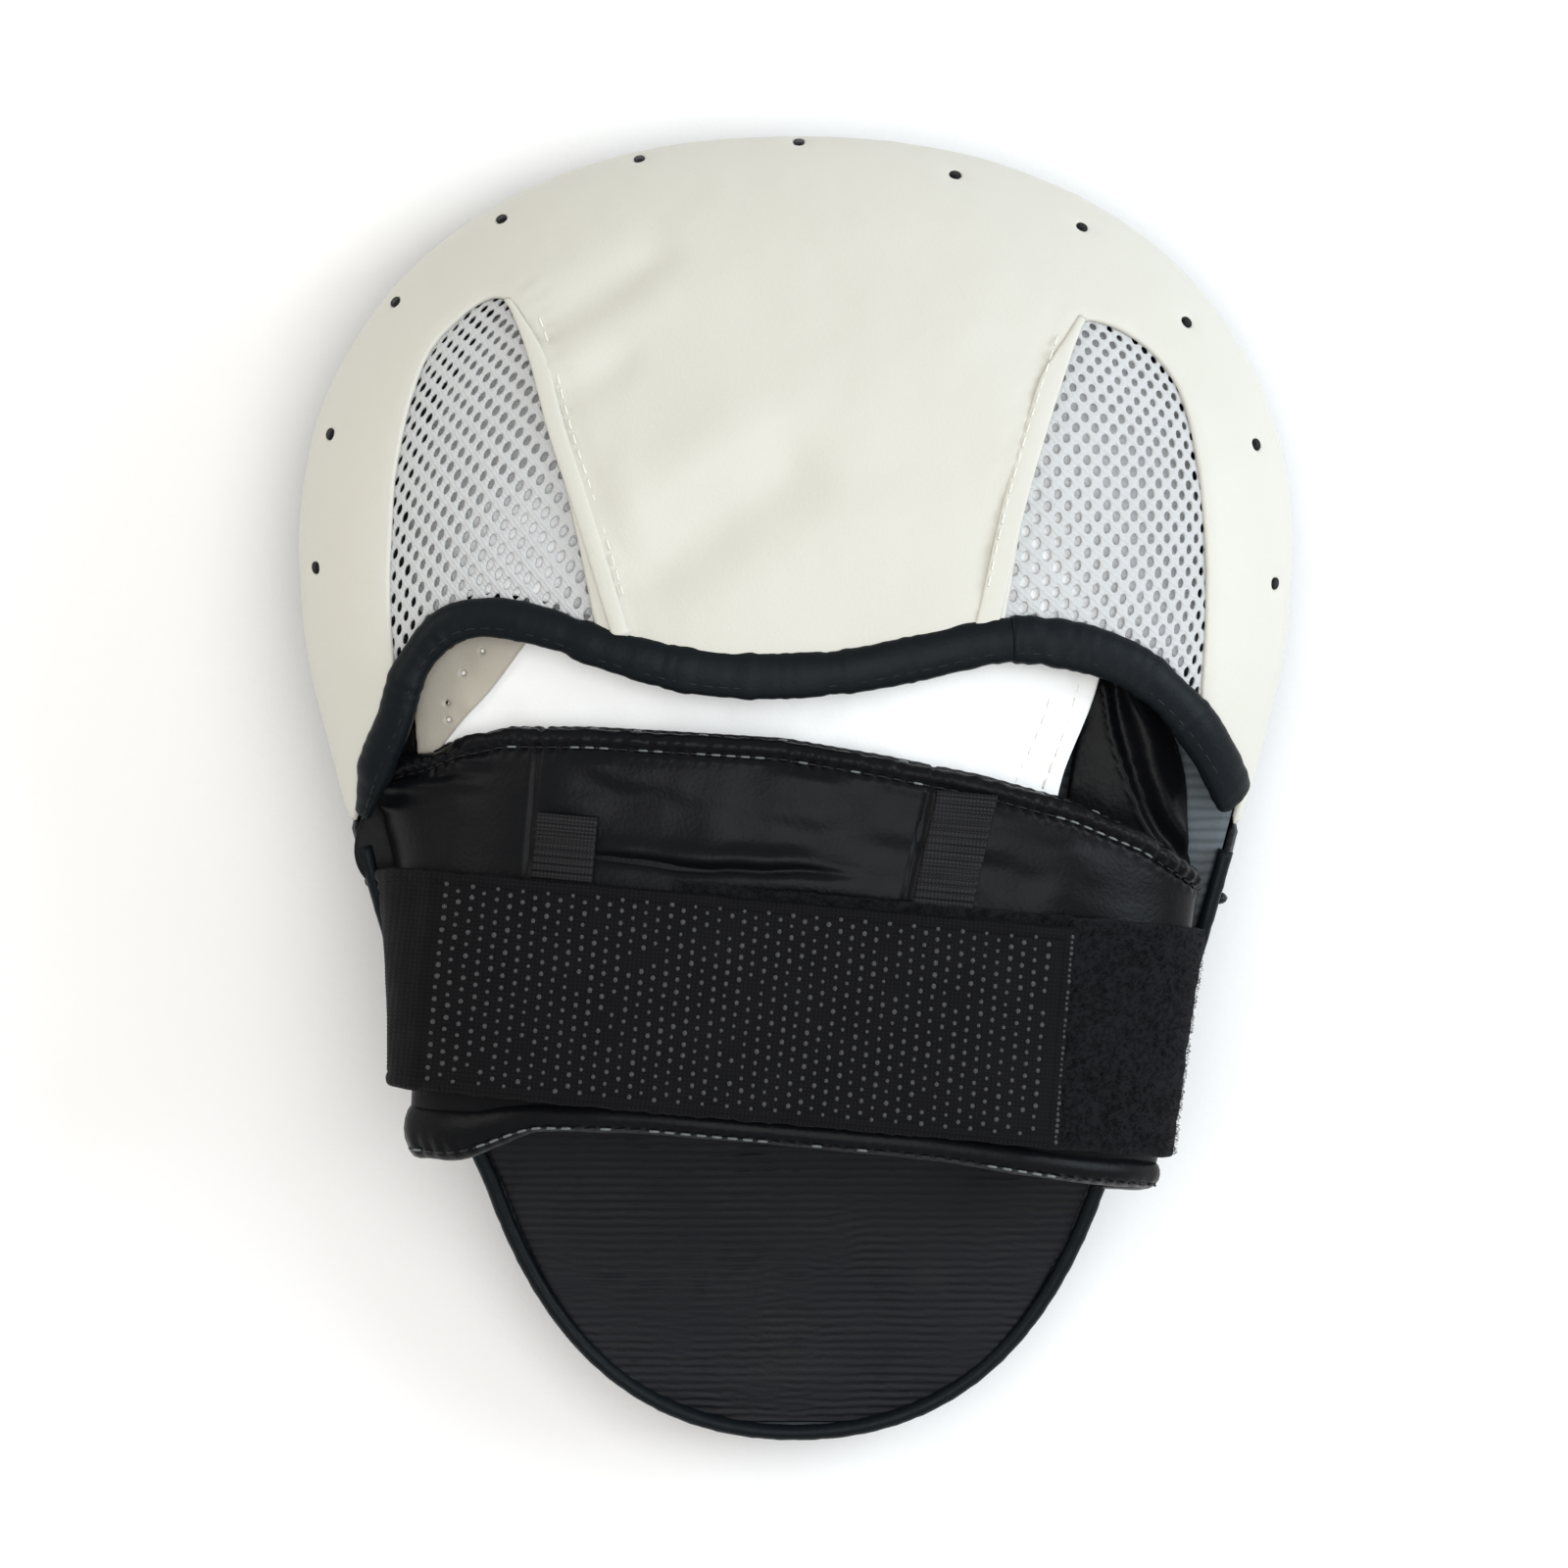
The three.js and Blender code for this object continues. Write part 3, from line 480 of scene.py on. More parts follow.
def plate(outer, holes, spacing, to_space, low, high, bump, rings=(0.35, 0.8)):
    """The form of a closed sheet over a flat region with holes; bump takes places, map and edge distance."""
    m, faces = triangulate(outer, holes, spacing, rings)
    p, n = to_space(m), map_normals(to_space, m)
    half, middle = (high - low) / 2, (high + low) / 2
    d = loop_distance(m, outer, *holes)
    f = rounding(d, half, 0.15)
    extra = bump(p, m, d)
    top = p + n * (middle + half * f + extra)[:, None]
    bottom = p + n * (middle - half * f + np.minimum(extra, 0))[:, None]
    k = len(m)
    sides = np.sort(np.vstack([faces[:, [0, 1]], faces[:, [1, 2]], faces[:, [2, 0]]]), axis=1)
    pairs, counts = np.unique(sides, axis=0, return_counts=True)
    walls = [[a, b, b + k, a + k] for a, b in pairs[counts == 1]]
    return np.vstack([top, bottom]), [*faces.tolist(), *(faces[:, ::-1] + k).tolist(), *walls]


def frames_along(path, up):
    """Directions to the side and up at each point of a path."""
    tangent = unit(np.gradient(path, axis=0))
    side = unit(np.cross(up, tangent))
    return side, np.cross(tangent, side)


def swept(path, up, section):
    """The form of a tube; section(i, run) gives the ring at point i as offsets to the side and up."""
    side, rise = frames_along(path, up)
    rings = []
    for i, run in enumerate(run_along(path)):
        o = section(i, run)
        rings.append(path[i] + side[i] * o[:, :1] + rise[i] * o[:, 1:])
    return tube(rings)


def oval(width, height, count=16, power=2.0):
    a = circle(count)
    c, s = np.cos(a), np.sin(a)
    e = 2 / power
    return np.stack([width / 2 * np.sign(c) * np.abs(c) ** e, height / 2 * np.sign(s) * np.abs(s) ** e], 1)


def stitch_row(path, up, length, gap, radius, lift, seed):
    """Thread stitches along a line, each dipping into the leather at its ends."""
    s = run_along(path)
    local = np.random.default_rng(seed + 100)
    parts, at, steps = [], 0.6, 6
    ring = oval(2 * radius, 2 * radius, 6)
    while at + length < s[-1] - 0.3:
        t = at + np.linspace(0, length, steps)
        u = unit(at_run(t, s, up))
        h = lift * np.sin(np.linspace(0, np.pi, steps)) ** 0.6 - 0.25 * radius
        c = at_run(t, s, path) + u * h[:, None]
        parts.append(swept(c, u, lambda i, run: ring * (0.65 if i in (0, steps - 1) else 1)))
        at += length + gap * local.uniform(0.85, 1.15)
    return gather(parts)


def stitched_spans(path, up, q, spans, *thread):
    """Stitch rows over the stretches of a line whose q lies in the spans."""
    rows = []
    for start, stop in spans:
        span = (q > start) & (q < stop)
        rows.append(stitch_row(path[span], up[span], *thread))
    return gather(rows)


# ---- materials ----
class Nodes:
    """Builds a principled material node by node."""

    def __init__(self, name, slot=None):
        self.material = bpy.data.materials.new(name)
        self.material.use_nodes = True
        self.slot = slot
        self.tree = self.material.node_tree
        self.shader = self.tree.nodes["Principled BSDF"]
        self.coord = self.tree.nodes.new("ShaderNodeTexCoord")

    def add(self, kind, inputs, **settings):
        node = self.tree.nodes.new(kind)
        for key, value in settings.items():
            setattr(node, key, value)
        for key, value in inputs.items():
            self.put(node, key, value)
        return node

    def put(self, node, key, value):
        if isinstance(value, bpy.types.NodeSocket):
            self.tree.links.new(value, node.inputs[key])
        else:
            node.inputs[key].default_value = value

    def texture(self, kind, source, output, inputs, **settings):
        inputs = {"Vector": self.coord.outputs[source], **inputs}
        return self.add(kind, inputs, **settings).outputs[output]

    def noise(self, scale, detail=3.0, rough=0.55):
        inputs = {"Scale": scale, "Detail": detail, "Roughness": rough}
        return self.texture("ShaderNodeTexNoise", "Object", "Fac", inputs)

    def cells(self, scale, feature="F1"):
        return self.texture("ShaderNodeTexVoronoi", "Object", "Distance", {"Scale": scale}, feature=feature)

    def wave(self, source, scale, direction, wander=0.0, fineness=1.0):
        inputs = {"Scale": scale, "Distortion": wander, "Detail": 2.0, "Detail Scale": fineness}
        return self.texture("ShaderNodeTexWave", source, "Fac", inputs, bands_direction=direction)

    def ramp(self, fac, low, high, a=0.0, b=1.0):
        inputs = {"Value": fac, "From Min": a, "From Max": b, "To Min": low, "To Max": high}
        return self.add("ShaderNodeMapRange", inputs).outputs["Result"]

    def around(self, fac, middle, spread):
        return self.ramp(fac, middle - spread, middle + spread, 0.3, 0.7)

    def tint(self, fac, dark, light):
        color_a, color_b, color_out = 6, 7, 2
        inputs = {0: fac, color_a: (*dark, 1), color_b: (*light, 1)}
        return self.add("ShaderNodeMix", inputs, data_type="RGBA").outputs[color_out]

    def sum(self, a, b, share=1.0):
        return self.add("ShaderNodeMath", {0: b, 1: share, 2: a}, operation="MULTIPLY_ADD").outputs[0]

    def finish(self, color, rough, height, depth, gloss=0.5):
        bump = self.add("ShaderNodeBump", {"Height": height, "Distance": depth, "Strength": 1.0})
        for key, value in (("Base Color", color), ("Roughness", rough), ("Normal", bump.outputs["Normal"])):
            self.put(self.shader, key, value)
        self.shader.inputs["Specular IOR Level"].default_value = gloss
        return self.material, self.slot


def scaled(color, k):
    return tuple(min(1.0, c * k) for c in color)


def leather(name, slot, color, rough, cell, vary, depth=0.00003, spread=0.1, gloss=0.5):
    """Grained leather: pebble cells, fine pores, patchy colour and patchy gloss."""
    n = Nodes(name, slot)
    patch, fine, soft = n.noise(35, 4), n.noise(4200, 2), n.noise(260, 3)
    pebble = n.cells(cell, "SMOOTH_F1")
    color = n.tint(n.sum(patch, pebble, 0.25), scaled(color, 1 - vary), scaled(color, 1 + vary))
    rough = n.ramp(n.sum(patch, soft, 0.6), rough - spread, rough + spread, 0.4, 1.2)
    return n.finish(color, rough, n.sum(n.sum(pebble, fine, 0.35), soft, 0.8), depth, gloss)


# A wave texture's scale times its pitch in metres.
WAVE_PITCH = 0.3142


def ribbed(name, color, rough, pitch, gloss):
    """Leathercloth embossed with fine wavering ribs."""
    n = Nodes(name, "black_ribbed_leather")
    wave = n.wave("Object", WAVE_PITCH / pitch, "Y", 1.2, 1.5)
    patch, pores = n.noise(50, 4), n.cells(1900, "SMOOTH_F1")
    color = n.tint(n.sum(wave, patch, 0.7), scaled(color, 0.6), scaled(color, 1.35))
    height = n.sum(n.sum(wave, pores, 0.5), n.noise(3500, 2), 0.3)
    return n.finish(color, n.around(patch, rough, 0.1), height, 0.0001, gloss)


def woven(name, slot, color, rough, pitch, gloss):
    """A plain weave over the piece's own UV map, in metres of warp and weft."""
    n = Nodes(name, slot)
    warp, weft = (n.wave("UV", WAVE_PITCH / pitch, direction) for direction in "XY")
    both = n.add("ShaderNodeMath", {0: warp, 1: weft}, operation="MULTIPLY").outputs[0]
    fibre, lint = n.noise(5200, 3), n.noise(140, 4)
    color = n.tint(n.sum(both, lint, 0.35), scaled(color, 0.6), scaled(color, 1.6))
    return n.finish(color, n.around(lint, rough, 0.08), n.sum(both, fibre, 0.5), 0.00012, gloss)


def fuzzy(name, slot, color, rough, gloss):
    """Brushed loop pile."""
    n = Nodes(name, slot)
    tuft, fibre, lint = n.cells(1100), n.noise(3800, 4, 0.7), n.noise(90, 4)
    color = n.tint(n.sum(fibre, lint, 0.6), scaled(color, 0.5), scaled(color, 2.0))
    return n.finish(color, n.around(lint, rough, 0.05), n.sum(tuft, fibre, 0.8), 0.0002, gloss)


def knit(name, slot, color, rough=0.75):
    """Warp-knitted polyester with tiny loops."""
    n = Nodes(name, slot)
    loops = n.wave("Object", 520.0, "DIAGONAL", 3.0, 2.0)
    fibre, patch = n.noise(3600, 3), n.noise(60, 3)
    color = n.tint(n.sum(patch, loops, 0.3), scaled(color, 0.93), scaled(color, 1.04))
    return n.finish(color, n.around(fibre, rough, 0.1), n.sum(loops, fibre, 0.8), 0.00008)


def foam(name, slot, color):
    n = Nodes(name, slot)
    pores, patch = n.cells(900), n.noise(70, 3)
    color = n.tint(n.sum(patch, pores, 0.4), scaled(color, 0.8), scaled(color, 1.1))
    return n.finish(color, n.ramp(patch, 0.85, 0.98), pores, 0.0002)


WHITE_SLOT, BLACK_SLOT, MESH_SLOT = "white_leather", "black_leather", "white_mesh"
DULL = 0.09
WHITE = leather("white_leather", WHITE_SLOT, (0.60, 0.588, 0.527), 0.5, 1700, 0.02, spread=0.07)
# Partly the finger stall's own cream and partly painted shade: darkened to the shaded tone under the hood's
# binding.
CREAM_AND_PAINTED_SHADE = leather("cream_leather_and_painted_shade", WHITE_SLOT, (0.45, 0.415, 0.35), 0.5, 1700, 0.03, spread=0.07)
PANEL = leather("panel_white", WHITE_SLOT, (0.965, 0.975, 0.975), 0.55, 1700, 0.012, spread=0.06)
BLACK = leather("black_leather", BLACK_SLOT, (0.0072, 0.0074, 0.0082), 0.45, 1500, 0.25, 0.00004, gloss=DULL)
GLOSSY = leather(
    "black_glossy_leather", BLACK_SLOT, (0.0045, 0.0048, 0.0058), 0.33, 1300, 0.3, 0.00004, gloss=DULL
)
BINDING = leather("black_binding", BLACK_SLOT, (0.0052, 0.0075, 0.0095), 0.42, 1600, 0.2, 0.00004, gloss=0.10)
GRAIN = ribbed("black_ribbed_leather", (0.0088, 0.0094, 0.0116), 0.55, 0.0016, 0.12)
# The black ribbed leathercloth made about nine times lighter: painted sheen, for window light on its ribs.
GRAIN_PAINTED_SHEEN = ribbed("ribbed_lining_painted_sheen", (0.075, 0.09, 0.10), 0.6, 0.0021, 0.3)
MESH = knit("white_mesh", MESH_SLOT, (0.53, 0.54, 0.545))
LINING = knit("white_lining", MESH_SLOT, (0.82, 0.83, 0.84))
WEBBING = woven("black_webbing", "black_webbing", (0.012, 0.012, 0.0135), 0.5, 0.0007, 0.16)
HOOK = woven("hook_tape_ground", "hook_tape", (0.0040, 0.0040, 0.0050), 0.7, 0.0008, DULL)
HOOK_THREAD = woven("hook_tape_thread", "hook_tape", (0.062, 0.062, 0.066), 0.4, 0.0004, 0.2)
LOOP = fuzzy("loop_pile", "loop_tape", (0.0052, 0.0056, 0.0066), 0.85, DULL)
WHITE_THREAD = knit("white_thread", WHITE_SLOT, (0.80, 0.79, 0.72), 0.6)
BLACK_THREAD = leather("black_thread", BLACK_SLOT, (0.012, 0.012, 0.014), 0.36, 3000, 0.3, gloss=0.2)
# Pale grey thread: painted glints, standing for light caught on the stitches.
GLINT_THREAD = leather("thread_painted_glints", BLACK_SLOT, (0.11, 0.125, 0.13), 0.3, 900, 0.6)
FOAM = foam("foam", "foam", (0.35, 0.35, 0.36))


# ---- padded pieces: pressure in a cloth simulation ----
def apply_modifiers(obj):
    depsgraph = bpy.context.evaluated_depsgraph_get()
    mesh = bpy.data.meshes.new_from_object(obj.evaluated_get(depsgraph))
    old = obj.data
    obj.modifiers.clear()
    obj.data = mesh
    bpy.data.meshes.remove(old)


def coordinates(mesh):
    co = np.zeros(len(mesh.vertices) * 3)
    mesh.vertices.foreach_get("co", co)
    return co.reshape(-1, 3)


def blown(obj, rest, cap, weights):
    """Where air pressure moves the vertices, none of them more than the cap."""
    pressure, frames = 4.0, 20
    group = obj.vertex_groups.new(name="pin")
    for i, w in enumerate(weights):
        if w > 0:
            group.add([i], float(w), "REPLACE")
    cloth = obj.modifiers.new("Cloth", "CLOTH")
    s = cloth.settings
    s.quality = 4
    s.mass = 0.3
    s.use_pressure = True
    s.uniform_pressure_force = pressure
    s.vertex_group_mass = "pin"
    s.tension_stiffness = s.compression_stiffness = 12
    s.bending_stiffness = 0.6
    s.effector_weights.gravity = 0
    cloth.point_cache.frame_start = 1
    cloth.point_cache.frame_end = frames
    for f in range(1, frames + 1):
        bpy.context.scene.frame_set(f)
    now = coordinates(obj.evaluated_get(bpy.context.evaluated_depsgraph_get()).to_mesh())
    obj.modifiers.remove(cloth)
    bpy.context.scene.frame_set(1)
    obj.vertex_groups.remove(group)
    move = now - rest
    far = np.linalg.norm(move, axis=1, keepdims=True)
    limit = cap * MM
    return rest + np.nan_to_num(move * (limit * np.tanh(far / limit) / np.maximum(far, 1e-9)))


def inflate(obj, voxel, cap, pinned, lowest=None):
    """Remeshes a closed form, crowns it with air pressure and subdivides it once."""
    bpy.context.view_layer.objects.active = obj
    modifier = obj.modifiers.new("Remesh", "REMESH")
    modifier.mode = "VOXEL"
    modifier.voxel_size = voxel * MM
    apply_modifiers(obj)
    shape = coordinates(obj.data)
    shape = blown(obj, shape, cap, pinned(shape / MM))
    if lowest is not None:
        shape[:, 2] = np.maximum(shape[:, 2], lowest * MM)
    obj.data.vertices.foreach_set("co", shape.ravel())
    obj.data.update()
    modifier = obj.modifiers.new("Subdivision", "SUBSURF")
    modifier.levels = modifier.render_levels = 1
    apply_modifiers(obj)
    obj.data.polygons.foreach_set("use_smooth", [True] * len(obj.data.polygons))
    return obj


# ---- the pad ----
INSIDE_PAD = (0, 0, 22)
RIM_COUNT = 520


def outline_points(inset_by, count=RIM_COUNT):
    """The pad's outline moved inwards, starting at the fingertips and going round to the left."""
    loop = resample(np.vstack([DENSE[::-1], DENSE[-1:]]), count + 1)[:-1]
    return shift_loop(np.roll(loop, -np.argmax(loop[:, 1]), axis=0), inset_by)


def pad_form(inset_by, bottom, top, rings, count):
    """The form of a closed cushion over the pad's plan: two faces of rings, joined at the rim."""
    rim = outline_points(inset_by, count)
    plan = np.array(CENTRE) + (rim - CENTRE)[None] * np.array(rings)[:, None, None]
    plan = np.vstack([[CENTRE], plan.reshape(-1, 2)])
    i = np.arange(count)
    j = (i + 1) % count
    face = [[0, 1 + a, 1 + b] for a, b in zip(i, j)]
    for inner in range(1, len(plan) - count, count):
        outer = inner + count
        face += np.stack([inner + i, outer + i, outer + j, inner + j], 1).tolist()
    last, n = len(plan) - count, len(plan)
    rim = np.stack([last + i, last + j, n + last + j, n + last + i], 1).tolist()
    verts = [np.column_stack([plan, height(plan[:, 0], plan[:, 1])]) for height in (bottom, top)]
    return np.vstack(verts), [*(f[::-1] for f in face), *([v + n for v in f] for f in face), *rim]


def make_strike_pad():
    rings = [0.25, 0.45, 0.62, 0.76, 0.87, 0.94, 1.0]

    def bottom(x, y):
        d, _, r = polar(x, y)
        return bow(y) + 2.4 * smooth(d / r, 0.9, 0.985) + 0.5

    def pinned(p):
        flat = (p[:, 2] < 1.4) & (np.abs(p[:, 1]) > 94)
        return np.where((p[:, 2] > 12 + bow(p[:, 1])) | flat, 1.0, 0.0)

    form = pad_form(2.3, bottom, lambda x, y: back_z(x, y) - 2.2, rings, 90)
    pad = inflate(build("strike_pad", form, BLACK, body=None), 4.5, 3.0, pinned, lowest=0.0)
    place(pad, BLACK, ["strike_face_cover", "foam_face_layer", "foam_core_layer", "foam_back_layer"])


make_strike_pad()


def wall_piece(name, start, end, look, node):
    """Leather of the pad's side, a little proud between its two seams."""
    rim = outline_points(0.0)
    index = np.arange(start, end + 1) % RIM_COUNT
    line = rim[index]
    low, high = bow(line[:, 1]) + 9.7, rim_z(line[:, 1]) + 0.1
    v = edge_steps(24, 1.3, 0.8)[None, :]
    z = mix(low[:, None], high[:, None], v)
    out = shift_loop(rim, -1.0)[index] - line
    bulge = 0.9 * np.sin(np.pi * v) ** 0.8 - 0.9
    p = np.dstack([line[:, :1] + out[:, :1] * bulge, line[:, 1:] + out[:, 1:] * bulge, z])
    creases = 0.14 * fbm(p[..., 0] / 9, p[..., 1] / 9, z / 22, seed=5)
    build(name, thick_sheet(p, -1.4, 0.0, INSIDE_PAD, creases), look, [node])


RIM = outline_points(0.0)
LEFT_TIP = int(np.argmax((RIM[:, 0] < 0) & (RIM[:, 1] < -5.8)))
RIGHT_TIP = RIM_COUNT - LEFT_TIP
wall_piece("side_wall_upper", RIGHT_TIP, RIM_COUNT + LEFT_TIP, WHITE, "side_band_upper")
wall_piece("side_wall_heel", LEFT_TIP, RIGHT_TIP, GRAIN, "side_band_heel")


def piping(name, inset_by, start, end, height, radius, node):
    """A cord in leather along part of the rim."""
    line = outline_points(inset_by)[np.arange(start, end + 1) % RIM_COUNT]
    path = np.column_stack([line, height(line[:, 1])])

    def section(i, s):
        r = radius * (1 + 0.03 * math.sin(s * 1.1) + 0.02 * math.sin(s * 2.7))
        return oval(2 * r, 2 * r, 12)

    build(name, swept(path, np.tile([0.0, 0.0, 1.0], (len(path), 1)), section), BINDING, [node])


piping("striking_edge_piping", 2.4, 262, 783, lambda y: bow(y) + 7.3, 2.0, "strike_piping")
piping("heel_piping", 1.8, LEFT_TIP + 4, RIGHT_TIP - 4, lambda y: rim_z(y) + 1.7, 1.5, "heel_edge_piping")

BACK_RINGS = [*np.linspace(0.06, 0.98, 46), 1.0]
BACK_FORM = pad_form(2.5, lambda x, y: back_z(x, y) - 1.6, back_z, BACK_RINGS, 240)
# The pad's back takes the lighter ribbed copy, whose pale tone is painted sheen.
build("back_of_pad", BACK_FORM, GRAIN_PAINTED_SHEEN, ["back_lining"])


def make_heel_cover():
    """Ribbed leathercloth on the wrist end, with ribs in the surface itself."""
    low_y, high_y, tip_y = -122.8, -54, -121.1
    line = np.linspace(low_y, high_y, 290)
    u = np.linspace(-1, 1, 120)[None, :]

    def side(limit):
        width = half_width(line) - 3.9
        width = np.minimum(width, mix(width, 46, smooth(line, limit, high_y)))
        width = np.where(line < tip_y, width * np.sqrt(np.clip((line + 123.0) / 1.9, 0.02, 1)), width)
        return smoothed(width, np.ones(9) / 9)[:, None]

    x = np.where(u < 0, side(-63.0), side(-69.0)) * u
    y = line[:, None] + 0 * u
    z = back_z(x, y) + 1.0 + 1.5 * (1 - smooth(np.abs(u), 0.0, 1.0)) * smooth(y, -122, -95)
    z = z - 1.1 * smooth(-y, 113, 122.8)
    wander = 0.5 * noise(x / 17, y / 30, seed=3) + 0.22 * noise(x / 4.5, y / 9, seed=4)
    ribs = 0.11 * np.sin((y / 1.55 + wander) * 2 * np.pi)
    broken = noise(x / 2.6, y / 1.5, seed=8) + 0.6 * noise(x / 9, y / 6, seed=10)
    ribs = ribs * (0.55 + 0.75 * broken) + 0.35 * fbm(x / 26, y / 20, seed=9)
    form = thick_sheet(np.dstack([x, y, z]), 0.0, 1.2, (0, -85, 0), ribs)
    build("heel_cover", form, GRAIN, ["heel_back_cover"])


make_heel_cover()


def make_palm_ball():
    centre_y, radius, height, levels = -14.0, 25.5, 15, 14
    base = float(back_z(0.0, centre_y))
    a = circle(44)
    rings = []
    for i in range(levels + 1):
        lean = math.pi / 2 * (1 - i / levels)
        t = math.sin(lean)
        r = radius * max(t, 0.02) + 0.35 * np.sin(a * 12) * (t**3)
        x, y = r * np.cos(a), centre_y + r * np.sin(a)
        z = base + height * math.cos(lean) + 0.2 * fbm(x / 9, y / 9, seed=6) if i else back_z(x, y) + 0.1
        rings.append(np.stack([x, y, z], 1))
    build("palm_ball", tube(rings), BLACK, ["palm_ball_core", "palm_ball_cover"])


make_palm_ball()


# ---- the hood ----
def near_line(points, line):
    """Signed distance (left of the line is positive) and the run along it."""
    run = run_along(line)
    best, side, along = np.full(len(points), 1e9), np.ones(len(points)), np.zeros(len(points))
    for i in range(len(line) - 1):
        d = line[i + 1] - line[i]
        length = np.linalg.norm(d)
        r = points - line[i]
        t = np.clip(r @ d / length**2, 0, 1)
        gap = np.linalg.norm(r - t[:, None] * d, axis=1)
        closer = gap < best
        best[closer] = gap[closer]
        side[closer] = np.sign(d[0] * r[closer, 1] - d[1] * r[closer, 0])
        along[closer] = (run[i] + t * length)[closer]
    return best * side, along


def curve_normals(line):
    d = unit(np.gradient(line, axis=0))
    return np.stack([-d[:, 1], d[:, 0]], 1)


MOUTH_LINE = spline(MOUTH, 420)


def mouth_offset(distance):
    """The mouth's edge in plan, moved towards the fingertips."""
    return MOUTH_LINE + curve_normals(MOUTH_LINE) * distance


def on_dome(xy, depth=0.0):
    return dome_point(dome_map(xy), depth)


def dome_normals(xy):
    return map_normals(dome_point, dome_map(xy))


def shell_outline():
    """The hood's edge on the flat map: round the rim, then back along the mouth."""
    edge = mouth_offset(1.0)
    d, angle, r = polar(edge[:, 0], edge[:, 1])
    edge, angle = edge[d < 0.992 * r], angle[d < 0.992 * r]
    a = np.linspace(angle[-1], angle[0] % (2 * np.pi), 330)[1:-1]
    arc = DOME_SPREAD * reach(a)[:, None] * np.stack([np.cos(a), np.sin(a)], 1)
    return np.vstack([arc, resample(dome_map(edge), 200)])


LEFT_SIDE = [(-37.6, 28), (-42.7, 52.3), (-48.3, 73.3), (-52.1, 89), (-57.7, 93.4), (-65.5, 88.5),
             (-71.5, 80.5), (-76.3, 62.2), (-77.6, 44.7), (-77.6, 33), (-76.6, 22)]
RIGHT_SIDE = [(77.4, 15), (78.4, 30), (78.4, 44.7), (77.1, 60.9), (73.3, 76), (65.8, 85), (55.3, 88.9),
              (51.4, 83), (47.2, 66), (43.4, 52.3), (39.5, 30)]


def window_loop(side, grow=0.0):
    """A mesh window in plan: its sides, closed along the binding."""
    edge = mouth_offset(2.7)
    line = spline(side, 150)
    line = line[near_line(line, edge)[0] > 0.2]
    lo, hi = sorted((line[0, 0], line[-1, 0]))
    floor = edge[(edge[:, 0] > lo) & (edge[:, 0] < hi) & (edge[:, 1] > 8)]
    loop = resample(np.vstack([line, floor, line[:1]]), 190)[:-1]
    return shift_loop(loop, -grow) if grow else loop


HEM_LINES = {
    "left": [(-54.2, 93.4), (-52.4, 90.5), (-49.2, 82), (-45.2, 67), (-40.3, 52), (-35, 34.5), (-33, 28)],
    "right": [(53.4, 90.0), (52.2, 87.6), (49.4, 80), (44.8, 65.5), (41, 52), (37.2, 35), (35.8, 29.3)],
}
HEM_LINES = {key: spline(line, 100) for key, line in HEM_LINES.items()}
SEAMS = {
    "left": HEM_LINES["left"] + curve_normals(HEM_LINES["left"]) * 3.6,
    "right": HEM_LINES["right"] - curve_normals(HEM_LINES["right"]) * 3.4,
}
# Long soft dents: two ends in plan, width and depth.
DENTS = [
    ((-47, 87.5), (-27, 100.5), 4.2, -1.15), ((-45, 81), (-27, 92.5), 4.6, 0.9),
    ((-52, 97), (-36, 107), 4.5, 0.6),
    ((-43, 74), (-33, 80), 3.4, -0.6), ((-27, 41.7), (-2, 59), 7.0, -1.7), ((-35, 52), (-12, 69), 7.5, 0.8),
    ((-46, 103), (-60, 99), 4.0, -0.6), ((-58, 101), (-66, 96), 3.0, 0.4),
    ((10, 30), (34, 44), 9.0, -0.6), ((20, 100), (45, 78), 9.0, -0.5), ((64, 92), (72, 84), 4.0, -0.35),
    ((33, 85), (42, 62), 6.0, 0.45), ((-90, 55), (-86, 74), 5.0, -0.35), ((-33, 60), (-28, 44), 3.5, 0.5),
]


def dents(p):
    total = np.zeros(len(p))
    for a, b, width, depth in DENTS:
        a, b = np.array(a, float), np.array(b, float)
        t = np.clip((p[:, :2] - a) @ (b - a) / ((b - a) @ (b - a)), 0, 1)
        gap = np.linalg.norm(p[:, :2] - a - t[:, None] * (b - a), axis=1)
        total += depth * np.exp(-((gap / width) ** 2))
    return total


def hood_bump(p, m, d):
    """Soft waves of the leathercloth, dents, and puckers pulled up by the two seams."""
    x, y = p[:, 0], p[:, 1]
    distance, _, r = polar(x, y)
    calm = 1 - smooth(distance / r, 0.8, 0.97)
    h = 0.42 * fbm(x / 31, y / 31, seed=21) * calm + 0.1 * fbm(x / 9, y / 9, seed=22) + dents(p) * calm
    for line, least, more, fade in ((SEAMS["left"], 0.35, 0.65, 16), (SEAMS["right"], 0.35, 0.25, 12)):
        gap, along = near_line(p[:, :2], line)
        wave = np.sin(2 * np.pi * along / 3.1 + 1.7 * noise(along / 9, 0, seed=31))
        pull = least + more * np.exp(-along / fade)
        h += 0.32 * pull * wave * np.exp(-((np.abs(gap) / 2.1) ** 1.5))
        h -= 0.30 * bell(gap, 0.8)
    return h - 0.25 * smooth(d, 3.2, 0.4)


